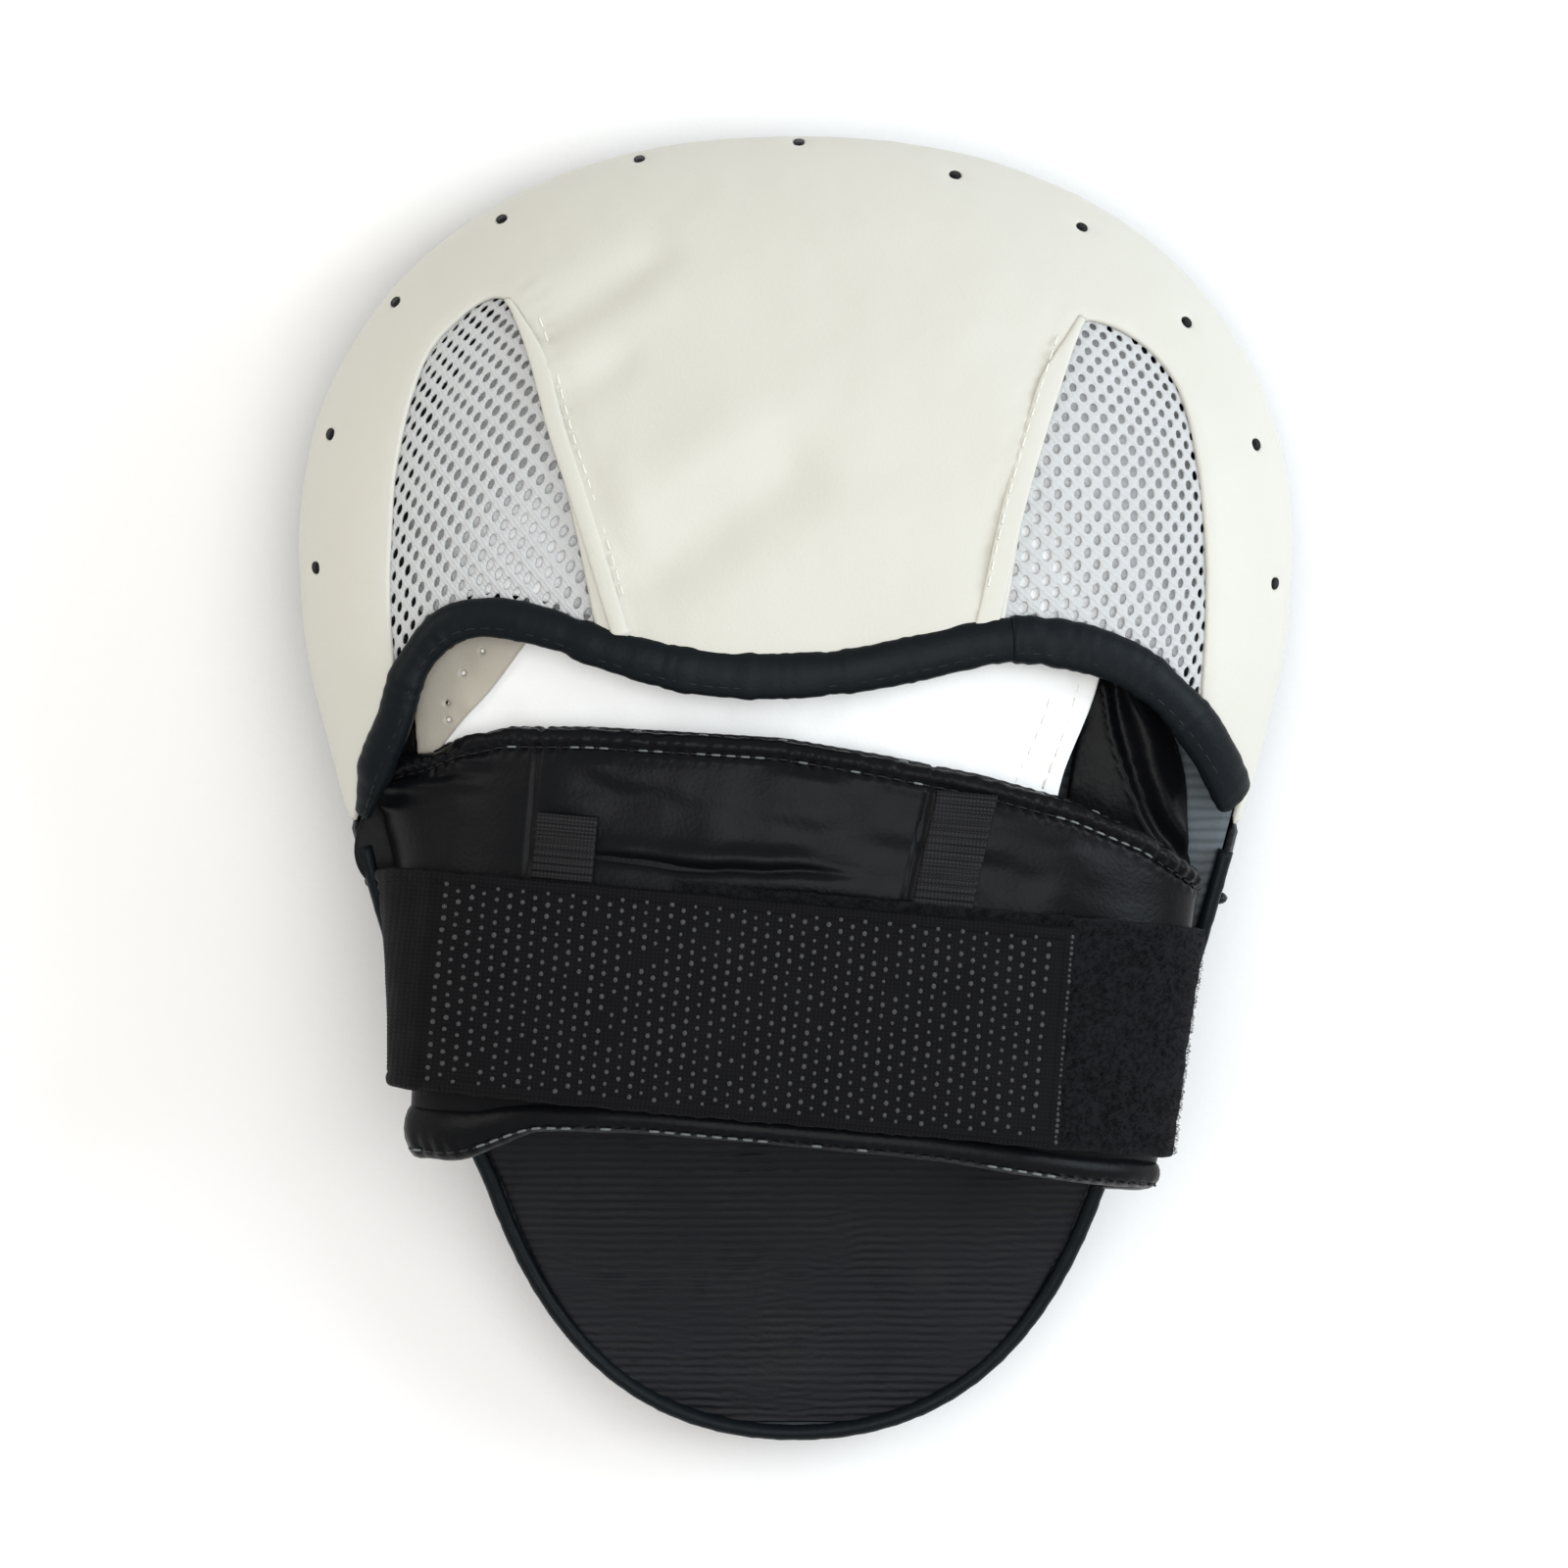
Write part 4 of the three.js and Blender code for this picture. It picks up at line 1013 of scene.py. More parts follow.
def make_hood_shell():
    """The leather, with its windows and vents, and a dark plug behind each vent."""
    holes = [dome_map(window_loop(LEFT_SIDE)), dome_map(window_loop(RIGHT_SIDE))]
    across_radius, along_radius = 0.78, 1.12
    turn = circle(14)[:, None]
    plugs = []
    for v in dome_map(VENTS):
        across = v / np.linalg.norm(v)
        tangent = np.array([-across[1], across[0]])
        seen = np.linalg.norm((dome_point(np.array([v + across])) - dome_point(np.array([v])))[0, :2])
        ring = across_radius / seen * np.cos(turn) * across + along_radius * np.sin(turn) * tangent
        holes.append(v + ring)
        ring = v + 1.06 * ring
        n = map_normals(dome_point, ring)
        plugs.append(tube([dome_point(ring) - n * depth for depth in (0.35, 2.0)]))
    form = plate(shell_outline(), holes, 1.5, dome_point, -1.3, 0.0, hood_bump)
    build("hood_leather", form, WHITE, ["hood_shell"])
    build("vent_backing", gather(plugs), BLACK)


make_hood_shell()


def strip_on_dome(line, width, low, high, bump, flush):
    """A folded strip; flush is the side (+1 or -1) it keeps where it narrows at its start."""
    length = run_along(line)[-1]
    line = resample(line, int(length / 0.8))
    v = edge_steps(width, 0.5, (high - low) / 2) - 0.5
    side = curve_normals(line)
    wide = width * mix(0.35, 1.0, smooth(np.linspace(0, length, len(line)), 0, 16))[:, None]
    offset = v[None, :] * wide + flush * (width - wide) / 2
    xy = line[:, None, :] + side[:, None, :] * offset[..., None]
    flat = xy.reshape(-1, 2)
    p, n = (points.reshape(*xy.shape[:2], 3) for points in (on_dome(flat), dome_normals(flat)))
    return thick_sheet(p, low, high, None, bump(p, v * width), normals=n)


def make_hem(key, window_side, width, high, crown, seam_gap, seam_depth):
    """One folded hem and the stitches beside its outer edge."""
    line = HEM_LINES[key]

    def fold(p, v):
        along = p[..., 1] + 0.3 * p[..., 0]
        ripple = 0.12 * noise(along / 5, -window_side * v[None, :] / 3, seed=41) + 0.05 * np.sin(along * 2.1)
        return crown * np.cos(np.clip(v / 2.0, -1, 1) * np.pi / 2)[None, :] + ripple

    form = strip_on_dome(line, width, -0.5, high, fold, window_side)
    build(f"folded_hem_{key}", form, WHITE, [f"hood_hem_{key}"])
    seam = resample((line - window_side * curve_normals(line) * seam_gap)[8:-9], 130)
    form = stitch_row(on_dome(seam, seam_depth), dome_normals(seam), 2.3, 0.75, 0.17, 0.14, 1)
    build(f"hem_stitches_{key}", form, WHITE_THREAD)


make_hem("left", -1, 3.4, 0.5, 0.24, 2.75, -0.1)
make_hem("right", 1, 4.4, 0.36, 0.1, 1.55, -0.45)


# ---- mesh windows, with real holes ----
MESH_ROW = np.array([3.75, 0.55])
MESH_STEP = np.array([1.72, -1.66])


def mesh_holes(loop):
    lo, hi = loop.min(0), loop.max(0)
    lean = math.radians(62)
    axis, cross = np.array([math.cos(lean), math.sin(lean)]), np.array([-math.sin(lean), math.cos(lean)])
    steps = range(-60, 61)
    centres = np.array([(lo + hi) / 2 + i * MESH_ROW + j * MESH_STEP for i in steps for j in steps])
    centres = centres[((centres > lo) & (centres < hi)).all(1)]
    keep = inside_loop(centres, loop) & (loop_distance(centres, loop) > 1.35)
    turn, holes = circle(10)[:, None], []
    for n, c in enumerate(centres[keep]):
        jitter = 1 + 0.07 * math.sin(n * 12.9)
        holes.append(c + 0.95 * jitter * np.cos(turn) * axis + 0.68 * jitter * np.sin(turn) * cross)
    return holes


def make_mesh(key, side):
    loop = dome_map(window_loop(side, 2.1))

    def bump(p, m, d):
        return 0.10 * fbm(p[:, 0] / 7, p[:, 1] / 7, seed=51) - 0.35 * bell(loop_distance(m, loop), 3)

    form = plate(loop, mesh_holes(loop), 1.0, lambda m: dome_point(m, 1.3), -0.72, -0.02, bump, rings=(0.22,))
    build(f"window_mesh_{key}", form, MESH, [f"hood_mesh_{key}"])


make_mesh("left", LEFT_SIDE)
make_mesh("right", RIGHT_SIDE)


# ---- white lining and padding inside the hood ----
LINING_EDGE = [
    (-69.5, 32.5), (-75.5, 34), (-79.3, 44), (-78.6, 58), (-74.5, 72), (-68.5, 84), (-60.5, 95), (-50, 98),
    (-32, 102), (0, 106), (30, 102), (48, 98), (60, 92.5), (70, 86), (77.5, 76), (80.5, 60), (81.5, 44),
    (80.5, 27), (74, 20.5), (66, 25.5), (53, 31), (38, 33), (20, 30.5), (8, 27.5), (-8, 26.5), (-22, 28.5),
    (-35, 31), (-47, 35), (-58, 37), (-65, 36),
]
PADDING_EDGE = [
    (-31, 36), (0, 34), (31, 38), (35, 52), (39, 68), (42, 84), (28, 98), (0, 104), (-28, 98),
    (-40, 84), (-37, 68), (-33, 52),
]


def closed_edge(points, count):
    return spline(points, count, closed=True)[:-1]


def lining_depth(x, y):
    left = 2.2 + 2.2 * smooth(np.hypot(x + 57, y - 44), 8, 24) + 2.6 * smooth(y - 1.3 * x, 118, 150)
    right = 2.4 + 3.4 * smooth(x + 0.35 * (y - 40), 48, 84)
    deep = 4.4
    return np.where(x < 0, mix(left, deep, smooth(x, -47, -38)), mix(deep, right, smooth(x, 36, 44)))


def make_lining():
    def under(m):
        p = dome_point(m)
        return dome_point(m, lining_depth(p[:, 0], p[:, 1]))

    def waves(p, m, d):
        return 0.25 * fbm(p[:, 0] / 14, p[:, 1] / 14, seed=61)

    def puffy(p, m, d):
        return 0.5 * smooth(d, 0, 9) - 2.2

    edge = dome_map(closed_edge(LINING_EDGE, 180))
    build("finger_lining", plate(edge, [], 2.4, under, -1.0, 0.0, waves), LINING, ["hood_lining"])
    edge = dome_map(closed_edge(PADDING_EDGE, 140))
    form = plate(edge, [], 3.0, lambda m: dome_point(m, 1.9), -2.0, 0.0, puffy)
    build("finger_padding", form, FOAM, ["hood_padding"])


make_lining()


# ---- rolled binding round the hood's mouth ----
def make_binding(key, keep, count, sink, grow, end_scale):
    """A rolled strip along the part of the mouth where keep says so, with its row of stitches."""
    d, _, r = polar(MOUTH_LINE[:, 0], MOUTH_LINE[:, 1])
    line = resample(MOUTH_LINE[(d / r < 0.972) & keep(MOUTH_LINE[:, 0])], count)
    up = dome_normals(line)
    path = on_dome(line) - up * sink
    wide = 7.4 + 1.2 * smooth(line[:, 0], -52, -18)
    turn = circle(22)

    def section(i, s):
        o = oval(wide[i] * grow, 4.8 * grow, 22, 2.4)
        wobble = 0.05 * np.sin(turn * 2 + s / 7) + 0.025 * math.sin(s / 2.3 + turn[5])
        crease = 0.05 * float(noise(s / 3.2, 0.0, seed=71)) + 0.03 * float(noise(s / 1.3, 0.0, seed=72))
        o = o * (1 + wobble * 0.5 + crease)[:, None]
        o[:, 1] -= 0.32 * bell(o[:, 0] + 0.29 * wide[i], 0.55) * (o[:, 1] > 0)
        return o * end_scale(s)

    name = f"mouth_binding_{key}"
    build(name, swept(path, up, section), BINDING, [f"hood_binding_{key}"])
    side, rise = frames_along(path, up)
    seam = path - side * 0.29 * wide[:, None] * grow + rise * 1.75 * grow
    build(f"{name}_stitches", stitch_row(seam, rise, 2.2, 0.8, 0.17, 0.12, 3), BLACK_THREAD)


def left_end(s):
    return float(mix(0.5, 1.0, smooth(s, 0, 11)))


def right_end(s):
    return min(1.0, 0.55 + s / 1.4)


make_binding("left", lambda x: x < JOIN_X + 1.2, 250, 0.9, 1.0, left_end)
make_binding("right", lambda x: x > JOIN_X, 100, 0.75, 1.045, right_end)


# ---- what shows through the mouth: hand panel and side gussets ----
def panel_space(m):
    x, y = m[:, 0], m[:, 1]
    return np.stack([x, y, dome_z(x, y) - 6.4 - 2.6 * smooth(38 - y, 0, 26)], 1)


PANEL_EDGE = [
    (-55.5, 34), (-60, 30), (-67, 14), (-70, 5), (-62, 0), (-45, -2), (-20, -3), (10, -4), (40, -7.5),
    (47.6, -8), (51.5, 4), (57, 18), (59, 30), (55, 36), (30, 37), (0, 36), (-30, 37), (-47, 37),
]
PANEL_ROWS = [
    spline([(56.5, 33), (54.1, 21), (51.2, 11), (47.3, 0.5), (45, -5)], 60),
    spline([(52.2, 33), (49.4, 21), (46.3, 11), (42.2, 2.0), (39.5, -5)], 60),
]
SEAM_LEFT = spline([(-46, 33), (-52.0, 25.9), (-58.0, 18), (-64.6, 11), (-70.5, 3)], 60)
STALL_CORNER = [(-72, 4.5), (-72.6, 12), (-72.2, 20), (-69.8, 26), (-63, 31), (-53, 34.5)]
STALL_PINHOLES = [(-63.4, 21.4), (-66.4, 15.8), (-66.2, 12.6), (-59.6, 25.6)]


def make_panel():
    def bump(p, m, d):
        h = 0.5 * fbm(m[:, 0] / 19, m[:, 1] / 13, seed=81) + 0.1 * fbm(m[:, 0] / 6, m[:, 1] / 6, seed=82)
        for row in PANEL_ROWS:
            gap, along = near_line(m, row)
            h += 0.12 * np.sin(along * 2.2) * bell(gap, 1.4) - 0.3 * bell(gap, 0.8)
        gap, _ = near_line(m, SEAM_LEFT)
        return h - 0.55 * bell(gap, 0.7) + 0.5 * smooth(gap, 3, -3)

    form = plate(closed_edge(PANEL_EDGE, 160), [], 1.5, panel_space, -1.3, 0.0, bump)
    build("back_of_hand_panel", form, PANEL, ["hand_panel"])


def make_finger_stall():
    """The cream leather left of the panel's seam, with its pinholes; its tone is partly the leather's own
    cream and partly painted shade cast by the hood's binding.
    """
    side = SEAM_LEFT - curve_normals(SEAM_LEFT) * 0.2
    edge = np.vstack([side, resample(spline(STALL_CORNER, 60), 60)])
    turn = circle(9)
    pins = [c + 0.42 * np.stack([np.cos(turn), np.sin(turn)], 1) for c in STALL_PINHOLES]

    def soft(p, m, d):
        return 0.35 * fbm(m[:, 0] / 8, m[:, 1] / 8, seed=83)

    form = plate(edge, pins, 1.3, lambda m: panel_space(m) + [0, 0, 0.9], -1.0, 0.0, soft)
    build("finger_stall_leather", form, CREAM_AND_PAINTED_SHADE)


def make_panel_stitches():
    up = np.tile([0.0, 0.0, 1.0], (60, 1))
    rows = []
    for n, row in enumerate(PANEL_ROWS):
        rows.append(stitch_row(panel_space(row) - [0, 0, 0.16], up, 2.3, 0.9, 0.2, 0.22, 4 + n))
    build("hand_panel_stitches", gather(rows), WHITE_THREAD)


make_panel()
make_finger_stall()
make_panel_stitches()

GUSSET_FOLD = spline([(59.5, 19), (61.3, 8.6), (66.5, -6), (73, -15), (76.5, -21)], 60)
GUSSET_RIGHT = [
    (51.6, -7), (57, -10), (66, -13.5), (73.6, -21), (75.6, -20), (75.2, -9), (75.4, 0), (73, 8.5),
    (68, 17), (60, 22.5), (56.8, 22), (54.2, 12),
]
GUSSET_LEFT = [
    (-84.5, -12), (-81, -19), (-73.5, -19), (-72.4, -8), (-72.4, 8), (-73.2, 15), (-73.4, 20),
    (-74.8, 21), (-76.5, 14), (-80.5, 2),
]


def right_gusset_bump(p, m, d):
    """A sharp fold along the seam and loose folds beside it."""
    gap, _ = near_line(m, GUSSET_FOLD)
    step = mix(1.3, -1.5, smooth(gap, -0.2, 0.9)) + 0.4 * bell(gap + 0.35, 0.45)
    wander = 1.3 * noise(m[:, 1] / 10, m[:, 0] / 20, seed=91)
    folds = 1.6 * np.sin(gap * 0.45 + wander) * smooth(gap, 0.8, 5)
    return step + folds + 0.16 * fbm(m[:, 0] / 8, m[:, 1] / 8, seed=92)


def left_gusset_bump(p, m, d):
    return 0.35 * np.sin(m[:, 0] * 0.55 + 0.2 * m[:, 1]) + 0.2 * fbm(m[:, 0] / 6, m[:, 1] / 6, seed=93)


def make_gusset(key, edge, way, bump, look):
    def to_space(m):
        x, y = m[:, 0], m[:, 1]
        z = np.maximum(dome_z(x, y) - 8 - 0.35 * (86 - way * x), back_z(x, y) + 2.2)
        return np.stack([x, y, z], 1)

    form = plate(closed_edge(edge, 150), [], 0.9, to_space, -1.4, 0.0, bump)
    build(f"gusset_{key}", form, look, [f"side_gusset_{key}"])


make_gusset("right", GUSSET_RIGHT, 1, right_gusset_bump, GLOSSY)
make_gusset("left", GUSSET_LEFT, -1, left_gusset_bump, BLACK)


# ---- the wrist cuff ----
def wrist_k(p):
    """Distance from the strap's centre line towards the fingertips."""
    return -p[:, 0] * ALONG[1] + (p[:, 1] - WRIST[1]) * ALONG[0]


def left_wedge(q):
    """0 over most of the wrist hem, 1 at its left end, where it widens."""
    return smooth(-q, 46, 66)


def hem_line(q):
    """Height of the wrist hem along the strap: it sinks a little at both sides, more at the left."""
    return CUFF_LOW - 0.9 - 2.2 * smooth(np.abs(q), 22, 62) - 4.2 * left_wedge(q)


def make_cuff_core():
    a = np.linspace(-0.965, 0.965, 46)
    low, high = CUFF_LOW + 1.2, cuff_high(arch_q(a)) - 1.8
    k = low + (high - low)[:, None] * np.linspace(0, 1, 22)[None, :]
    a = a[:, None]

    def pinned(p):
        return np.maximum(1 - smooth(wrist_k(p), 21.5, 27), smooth(40 - p[:, 2], -2, 2))

    form = thick_sheet(arch(a, k), -8.0, -1.0, None, normals=arch_normals(a, k))
    core = inflate(build("cuff_padding", form, BLACK, body=None), 4.0, 2.4, pinned)
    place(core, BLACK, ["cuff_foam", "cuff_lining"])
    return core


CUFF_CORE = make_cuff_core()
EDGE_ROLL = 3.9
EDGE_QUARTER = EDGE_ROLL * np.pi / 2
EDGE_TUCK = 9
FIELD_K = 21
STITCH_ROWS = (1.9, 6.3)
# Spans of q where each row's thread is painted pale grey, standing for glints of light on it.
EDGE_GLINT_SPANS = (
    [(-58, -54), (-45, -41), (-37, -33), (-24, -20), (-9, -5), (14, 18), (41, 45), (52, 56)],
    [(-60, -56), (-48, -38), (-35, -27), (-24, -9), (-5, 1), (5, 9), (17, 21), (30, 34), (45, 66)],
)
# Spans of q where the roll's seam thread is painted pale grey as glints of light.
ROLL_GLINT_SPANS = [(-71, -67), (-60, -40), (-36, -31), (-27, -2), (4, 9), (13, 18), (38, 54)]


def even_angles(count, k=38.0):
    """Angles evenly spaced along the arch at one k."""
    a = np.linspace(-0.98, 0.98, 3000)
    s = run_along(arch(a, k))
    at = np.linspace(0, s[-1], count)
    return np.interp(at, s, a), at


def edge_relief(q, k, e, s):
    """Puckers of the two stitched rows, the puffed band between them, creases and seams.

    e is the distance below the cuff's upper edge, and s the run along it.
    """
    rough = 0.65 + 0.35 * noise(s / 7, 0, seed=101)
    wave = np.cos(2 * np.pi * s / 2.75 + 1.6 * noise(s / 10, 0, seed=102))
    h = (0.95 + 0.28 * noise(s / 2.1, e / 1.6, seed=103)) * np.exp(-(((e - 4.1) / 1.6) ** 4))
    for depth, pull, row in ((0.42, 0.2, STITCH_ROWS[0]), (0.75, 0.42, STITCH_ROWS[1])):
        h = h + pull * rough * wave * bell(e - row + 0.4, 1.5) - depth * bell(e - row, 0.6)
    open_field = smooth(e, 7.2, 9.5) * smooth(k, 20, 25)
    ends = 1 - 0.75 * smooth(np.abs(q), 48, 60)
    folds = 0.75 * noise(q / 17, k / 6.5 + q / 60, seed=104) + 0.16 * noise(q / 6, k / 4, seed=105)
    h = h + open_field * ends * folds
    line = 26.2 + 1.0 * noise(q / 11, 0, seed=106)
    h = h - 1.3 * bell(k - line, 0.8) * smooth(q, -46, -36) * smooth(-q, -12, 2)
    h = h + 0.8 * bell(k - line - 2.4, 1.8) * smooth(q, -42, -34) * smooth(-q, -6, 6)
    for seam in (-53.2, 12.6 + 10 * (k - CUFF_LOW) / CUFF_HEIGHT):
        h = h - 0.55 * bell(q - seam, 0.5) * smooth(k, 18, 24)
    corner = smooth(-q, 60, 66) * smooth(-e, -17, -5)
    return h + 0.55 * corner * np.sin(2 * np.pi * (e - 0.25 * s) / 4.6)


def core_puff(flat, n):
    """How far the simulated padding stands above the flat leather."""
    start, reach_down, rest, most = 7, 0.012, 1.0, 2.4
    tree = BVHTree.FromObject(CUFF_CORE, bpy.context.evaluated_depsgraph_get())
    h = np.full(flat.shape[:2], -rest)
    for i, j in np.ndindex(*h.shape):
        origin = (flat[i, j] + n[i, j] * start) * MM
        hit = tree.ray_cast(Vector(origin), Vector(-n[i, j]), reach_down)
        if hit[0] is not None:
            h[i, j] = start - hit[3] / MM
    h = np.clip(h + rest, 0, most)
    kernel = np.array([1, 4, 6, 4, 1]) / 16
    for axis in (0, 0, 0, 1, 1):
        h = np.apply_along_axis(smoothed, axis, h, kernel)
    return h


def cuff_rows(q):
    """Rows of k, depth under the arch and edge distance: field, rounded upper edge and tuck inside."""
    top = cuff_high(q) - EDGE_ROLL
    field = [mix(hem_line(q) + 1.2, FIELD_K, t) for t in np.linspace(0, 1, 15)]
    field += [mix(FIELD_K, top, t) for t in np.linspace(0, 1, 44)[1:]]
    rows = [(k, 0, top - k + EDGE_QUARTER) for k in field]
    for phi in np.linspace(0, np.pi, 22)[1:]:
        depth = EDGE_ROLL * (1 - np.cos(phi))
        rows.append((top + EDGE_ROLL * np.sin(phi), depth, EDGE_ROLL * (np.pi / 2 - phi)))
    for t in np.linspace(0, 1, 8)[1:]:
        rows.append((top - EDGE_TUCK * t, 2 * EDGE_ROLL, -EDGE_QUARTER - EDGE_TUCK * t))
    return [np.stack([np.broadcast_to(row[part], q.shape) for row in rows], 1) for part in range(3)]


def make_cuff_leather():
    a, s = even_angles(350)
    q = arch_q(a)
    k, depth, e = cuff_rows(q)
    flat, n = arch(a[:, None], k), arch_normals(a[:, None], k)
    puff = core_puff(flat, n) * smooth(k, 22.5, 28) * smooth(e, 1.5, 6) * (depth < 0.01)
    p = flat - n * depth[..., None] + n * puff[..., None]
    relief = edge_relief(q[:, None], k, e, s[:, None])
    inside = (0, -40, 45)
    build("cuff_leather", thick_sheet(p, -0.9, 0.0, inside, relief), GLOSSY, ["cuff_shell"])
    out = grid_normals(p, inside)
    outer = p + out * relief[..., None]
    middle = slice(12, len(q) - 12)
    rows, glint_rows = [], []
    for row, spans, seed in zip(STITCH_ROWS, EDGE_GLINT_SPANS, (7, 8)):
        path, up = (
            np.concatenate([at_run([-row], -edge, line) for edge, line in zip(e[middle], grid[middle])])
            for grid in (outer, out)
        )
        path = np.stack([smoothed(column, np.ones(5) / 5) for column in path.T], 1)
        rows.append(stitch_row(path + up * 0.12, up, 2.0, 0.75, 0.2, 0.2, seed))
        # Short runs of pale thread along each row: painted glints of light.
        glint_rows.append(stitched_spans(path + up * 0.2, up, q[middle], spans, 2.0, 0.8, 0.24, 0.26, seed))
    build("cuff_edge_stitches", gather(rows), BLACK_THREAD)
    build("cuff_edge_glint_stitches", gather(glint_rows), GLINT_THREAD)


make_cuff_leather()


def make_bottom_roll():
    a, _ = even_angles(300, CUFF_LOW - 2)
    a = a[np.abs(a) < 0.93]
    q = arch_q(a)
    wedge = left_wedge(q)
    up = arch_normals(a, hem_line(q))
    path = arch(a, hem_line(q)) - up * 2.2
    total = run_along(path)[-1] + 1e-6

    def section(i, run):
        o = oval(5.8 + 5.2 * wedge[i], 5.8 + 0.8 * wedge[i], 20, 2.2)
        turn = np.arctan2(o[:, 1], o[:, 0]) % (2 * np.pi)
        pull = math.cos(2 * math.pi * run / 3.0 + 1.4 * float(noise(run / 9, 0, seed=111)))
        lower = np.exp(-((turn - np.pi * 0.78) ** 2) / 0.12)
        scale = 1 + 0.05 * float(noise(run / 6, 0, seed=112)) + 0.05 * pull * lower - 0.09 * lower
        end = min(1.0, (run / 2.5) ** 0.5 + 0.3, ((total - run) / 2.5) ** 0.5 + 0.3)
        return o * (scale * end)[:, None]

    build("cuff_wrist_roll", swept(path, up, section), GLOSSY, ["cuff_bottom_roll"])
    side, rise = frames_along(path, up)
    seam = path - side * (2.1 + 1.7 * wedge[:, None]) + rise * 2.05
    build("wrist_roll_stitches", stitch_row(seam, rise, 2.1, 0.8, 0.22, 0.25, 9), BLACK_THREAD)
    # Short runs of pale thread along the roll's seam: painted glints of light.
    form = stitched_spans(seam + rise * 0.1, rise, q, ROLL_GLINT_SPANS, 2.1, 0.85, 0.26, 0.28, 9)
    build("wrist_roll_glint_stitches", form, GLINT_THREAD)


make_bottom_roll()


# ---- tapes and straps laid on the cuff ----
def cuff_strip(ends, sides, low, high, step, bump, slant=0.0, ragged=0.0, open_sides=()):
    """The form of a flat tape on the cuff, and its UV map, in metres along and across."""
    (q0, q1), (k0, k1) = ends, sides
    half = (high - low) / 2
    u = edge_steps(q1 - q0, step[0], half)[:, None]
    v = edge_steps(k1 - k0, step[1], half)[None, :]
    k = k0 + (k1 - k0) * (v + 0 * u)
    q = q0 + (q1 - q0) * (u + 0 * v) + slant * (k - CUFF_LOW) / CUFF_HEIGHT
    if ragged:
        for side, w in ((1, smooth(v, 0.93, 1)), (-1, smooth(1 - v, 0.93, 1))):
            k = k + w * ragged * (noise(q / 1.1, side, seed=121) + 0.8 * noise(q / 4, side, seed=122))
        for side, name, w in ((1, "u1", smooth(u, 0.97, 1)), (-1, "u0", smooth(1 - u, 0.97, 1))):
            if name not in open_sides:
                q = q + w * ragged * (noise(k / 1.1, side, seed=123) + 0.8 * noise(k / 4, side, seed=124))
    angle = angle_at(q)
    form = thick_sheet(arch(angle, k), low, high, None, bump(q, k), open_sides, arch_normals(angle, k))
    uv = np.stack([q, k], -1).reshape(-1, 2) * MM
    return form, np.vstack([uv, uv])


def ribs(q, k):
    fade = 0.8 + 0.2 * noise(q / 4, k / 2, seed=131)
    return 0.27 * fade * np.sin(2 * np.pi * k / 1.5 + 0.25 * noise(q / 5, k / 5, seed=132))


for key, ends, top_k, slant in (("left", (-52, -40.5), 33.5, 0.0), ("right", (14, 25.5), 44.5, 10.0)):
    tape, uv = cuff_strip(ends, (-20, top_k), 0.15, 1.4, (0.8, 0.27), ribs, slant)
    build(f"webbing_{key}", tape, WEBBING, [f"webbing_tape_{key}"], uv=uv)


def nap(q, k):
    return 0.16 * fbm(q / 1.4, k / 1.4, seed=141) + 0.1 * noise(q / 6, k / 6, seed=142)


def fibre_form(count):
    """Loose loops of fibre over the bare end of the loop tape, and along its edge above the strap."""
    q, k = rng.uniform(49.5, 74.6, count), rng.uniform(-20.6, 22.6, count)
    along_top = count // 7
    q[:along_top], k[:along_top] = rng.uniform(-24, 50, along_top), rng.uniform(21.3, 22.9, along_top)
    base, n = arch(angle_at(q), k), arch_normals(angle_at(q), k)
    turn = rng.uniform(0, 2 * np.pi, count)
    length, rise = rng.uniform(0.5, 1.1, count), rng.uniform(0.35, 0.75, count)
    side = np.stack([np.cos(turn), np.sin(turn), np.zeros(count)], 1)
    side -= n * np.sum(side * n, 1)[:, None]
    across = np.cross(n, side)
    steps, sides, radius = 5, 3, 0.055
    verts = []
    for t in np.linspace(0, 1, steps):
        high = (2.7 + rise * math.sin(math.pi * t))[:, None]
        centre = base + n * high + side * (length * (t - 0.5))[:, None]
        lean = n * math.sin(math.pi * t) - side * math.cos(math.pi * t)
        verts += [centre + radius * (math.cos(r) * across + math.sin(r) * lean) for r in circle(sides)]
    size = steps * sides
    _, faces = tube(np.zeros((steps, sides, 3)))
    faces = [[i + f * size for i in face] for f in range(count) for face in faces]
    return np.stack(verts, 1).reshape(-1, 3), faces


tape, uv = cuff_strip((-25, 75), (-21, 23), 1.6, 2.75, (0.7, 0.7), nap, ragged=0.22)
build("loop_tape_ground", tape, LOOP, ["loop_tape"], uv=uv)
build("loop_tape_fibres", fibre_form(3600), LOOP)

STRAP_LOW, STRAP_HIGH = 3.05, 5.0
DOT_PITCH = (2.26, 1.09)
DOT_RADIUS, TIP_DOT_RADIUS = 0.47, 0.36


def strap_relief(q, k):
    """Woven face with selvedges, a fold near the sewn end and a slightly wavy lie."""
    weave = 0.035 * np.sin(2 * np.pi * k / 0.69) + 0.03 * np.sin(2 * np.pi * q / 1.1)
    edge = np.minimum(STRAP_HALF - np.abs(k), 50.5 - q)
    selvedge = 0.16 * bell(edge - 1.6, 0.7) - 0.2 * bell(edge - 2.7, 0.35)
    fold = -0.35 * bell(q + 66.5, 0.8) + 0.2 * bell(q + 68.3, 1.2)
    return weave + selvedge + fold + 0.22 * noise(q / 22, k / 16, seed=151)


def chance(i, j, k, seed):
    return hashed(np.int64(i), np.int64(j), np.int64(k), seed)


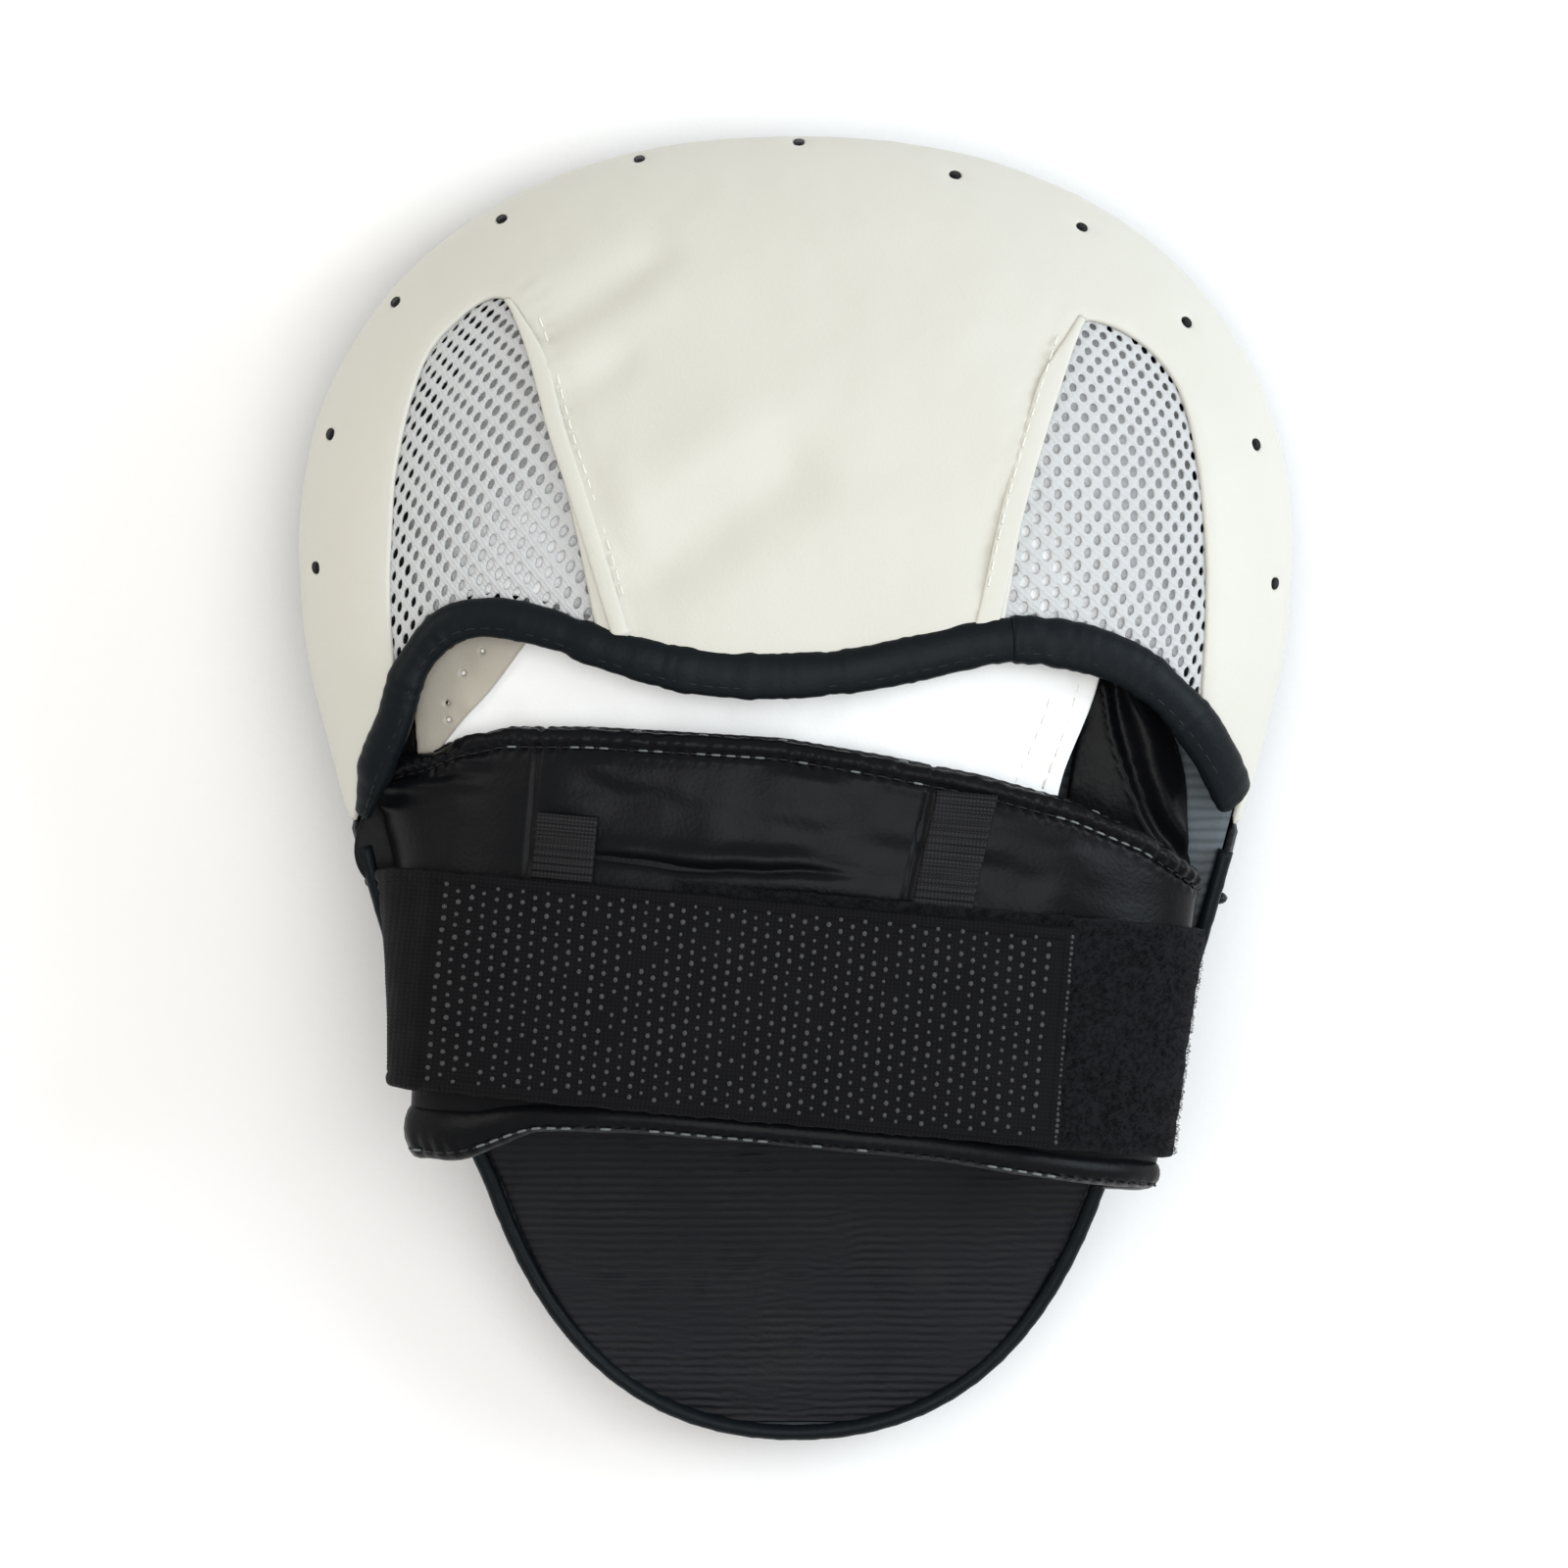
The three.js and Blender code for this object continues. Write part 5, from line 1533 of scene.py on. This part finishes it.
def dot_centres(q0, q1):
    """Places and sizes of the thread knobs: staggered rows, and a line along the free end."""
    centres = []
    for c in range(-74, 60):
        q = c * DOT_PITCH[0]
        if not max(q0, -67.5) <= q < min(q1, 47.4):
            continue
        for r in range(-18, 19):
            k = (r * 2 + c % 2) * DOT_PITCH[1]
            kind = chance(c, r, 0, 7)
            if -18.6 < k < 19.4 and kind <= 0.93:
                size = DOT_RADIUS * (1 + 0.18 * kind)
                centres.append((q + 0.12 * kind, k + 0.1 * chance(r, c, 1, 8), size))
    if q1 > 49:
        for i, k in enumerate(np.arange(-19.6, 19.8, 1.05)):
            kind = chance(i, 3, 2, 9)
            if kind <= 0.85:
                centres.append((49.35 + 0.1 * kind, k, TIP_DOT_RADIUS * (1 + 0.3 * kind)))
    return centres


def strap_dots(q0, q1):
    """Knobs of thread standing in the weave: three rings and a tip each."""
    turn, sides = circle(7), 7
    profile, tip = ((1.0, -0.12), (0.86, 0.14), (0.5, 0.27)), 0.31
    knob = [
        [level + i, level + (i + 1) % sides, level + (i + 1) % sides + sides, level + i + sides]
        for level in (0, sides) for i in range(sides)
    ]
    knob += [[2 * sides + i, 2 * sides + (i + 1) % sides, 3 * sides] for i in range(sides)]
    knob.append(list(range(sides - 1, -1, -1)))
    forms = []
    for q, k, size in dot_centres(q0, q1):
        rings = [
            np.stack([q + size * 0.95 * r * np.cos(turn), k + size * 1.12 * r * np.sin(turn)], 1)
            for r, _ in profile
        ]
        points = np.vstack([*rings, [(q, k)]])
        heights = np.array([*np.repeat([height for _, height in profile], sides), tip])
        base = STRAP_HIGH + float(strap_relief(q, k)) + heights
        angle = angle_at(points[:, 0])
        forms.append((arch(angle, points[:, 1]) + arch_normals(angle, points[:, 1]) * base[:, None], knob))
    return gather(forms)


def strap_point(q):
    """A point on the strap's face, in metres."""
    a = angle_at(np.array([q]))
    p = arch(a, np.zeros(1)) + arch_normals(a, np.zeros(1)) * STRAP_HIGH
    return tuple(float(c) * MM for c in p[0])


def make_strap_piece(name, ends, hinge, open_sides, nodes):
    """One length of the strap with its knobs, built in place of the CAD parts named."""
    sides = (-STRAP_HALF, STRAP_HALF)
    args = (ends, sides, STRAP_LOW, STRAP_HIGH, (0.55, 0.36), strap_relief)
    (verts, faces), uv = cuff_strip(*args, ragged=0.16, open_sides=open_sides)
    dots = strap_dots(*ends)
    uv = np.vstack([uv, dots[0][:, :2] * MM])
    strap = build(name, gather([(verts, faces), dots]), HOOK, body=None, uv=uv)
    strap.data.materials.append(HOOK_THREAD[0])
    index = np.zeros(len(strap.data.polygons), np.int32)
    index[len(faces):] = 1
    strap.data.polygons.foreach_set("material_index", index)
    strap_point(hinge - 0.4)
    strap_point(hinge + 7.6)
    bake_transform(strap)
    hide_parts(*nodes)


SEWN_NODES = ["strap_root", "strap_middle"]
make_strap_piece("strap_sewn_end", (-76, -33), -57.6, ("u1",), SEWN_NODES)
make_strap_piece("strap_centre", (-33, 7), -8.0, ("u0", "u1"), ["strap_front"])
make_strap_piece("strap_free_end", (7, 50), 22.5, ("u0",), ["strap_tip"])


def thread_knot(x, y):
    """The form of a little knot at the rim, where a gusset's seam ends."""
    turn, z = circle(10), float(rim_z(y)) - 3
    rings = []
    for t in np.linspace(0.15, math.pi - 0.15, 7):
        r = 1.15 * math.sin(t) * (1 + 0.12 * np.sin(3 * turn + 5 * t))
        ring = [x + r * np.cos(turn), y + r * np.sin(turn), z + 0 * turn - 1.4 * math.cos(t)]
        rings.append(np.stack(ring, 1))
    return tube(rings)


build("seam_end_knots", gather([thread_knot(-81.6, -18.2), thread_knot(81.6, -21.5)]), BLACK_THREAD)


# ---- floor, light and camera ----
def make_floor():
    bpy.ops.mesh.primitive_plane_add(size=6, location=(0, 0, 0))
    floor = bpy.context.object
    floor.name = "floor"
    n = Nodes("floor_paper")
    fine = n.noise(600, 3)
    color = n.tint(fine, (0.965, 0.965, 0.965), (0.985, 0.985, 0.985))
    floor.data.materials.append(n.finish(color, n.ramp(fine, 0.85, 0.95), fine, 0.00005)[0])


def area_light(name, place, size, power, color=(1, 1, 1)):
    """A soft light that faces the mitt."""
    data = bpy.data.lights.new(name, "AREA")
    data.shape = "RECTANGLE"
    data.size, data.size_y = size
    data.energy = power
    data.color = color
    lamp = bpy.data.objects.new(name, data)
    bpy.context.scene.collection.objects.link(lamp)
    lamp.location = place
    lamp.rotation_euler = (Vector((0, 0, 0.04)) - Vector(place)).to_track_quat("-Z", "Y").to_euler()


def make_studio():
    world = bpy.data.worlds.new("studio")
    bpy.context.scene.world = world
    world.use_nodes = True
    background = world.node_tree.nodes["Background"]
    background.inputs["Color"].default_value = (1.0, 0.985, 0.955, 1)
    background.inputs["Strength"].default_value = 0.56
    area_light("overhead", (0.15, -0.1, 1.9), (1.4, 1.2), 17.0)
    area_light("window", (1.2, 0.25, 0.75), (0.9, 0.7), 12.5, (0.80, 0.91, 1.0))
    area_light("lamp", (-1.2, 0.45, 0.75), (0.8, 0.6), 3.5, (1.0, 0.95, 0.86))


def make_camera():
    """A camera straight above, whose frame is a given width at the height of the hood's rim."""
    height, plane, across, sensor = 2.4, 0.040, 0.3008, 36
    data = bpy.data.cameras.new("camera")
    camera = bpy.data.objects.new("camera", data)
    bpy.context.scene.collection.objects.link(camera)
    bpy.context.scene.camera = camera
    data.sensor_width = sensor
    data.clip_start, data.clip_end = 0.05, 20
    data.lens = sensor * (height - plane) / across
    camera.location = (-0.00226, 0.00038, height)
    camera.rotation_euler = (0, 0, 0)
    view = bpy.context.scene.view_settings
    view.view_transform = "Standard"
    view.look = "None"


make_floor()
make_studio()
make_camera()
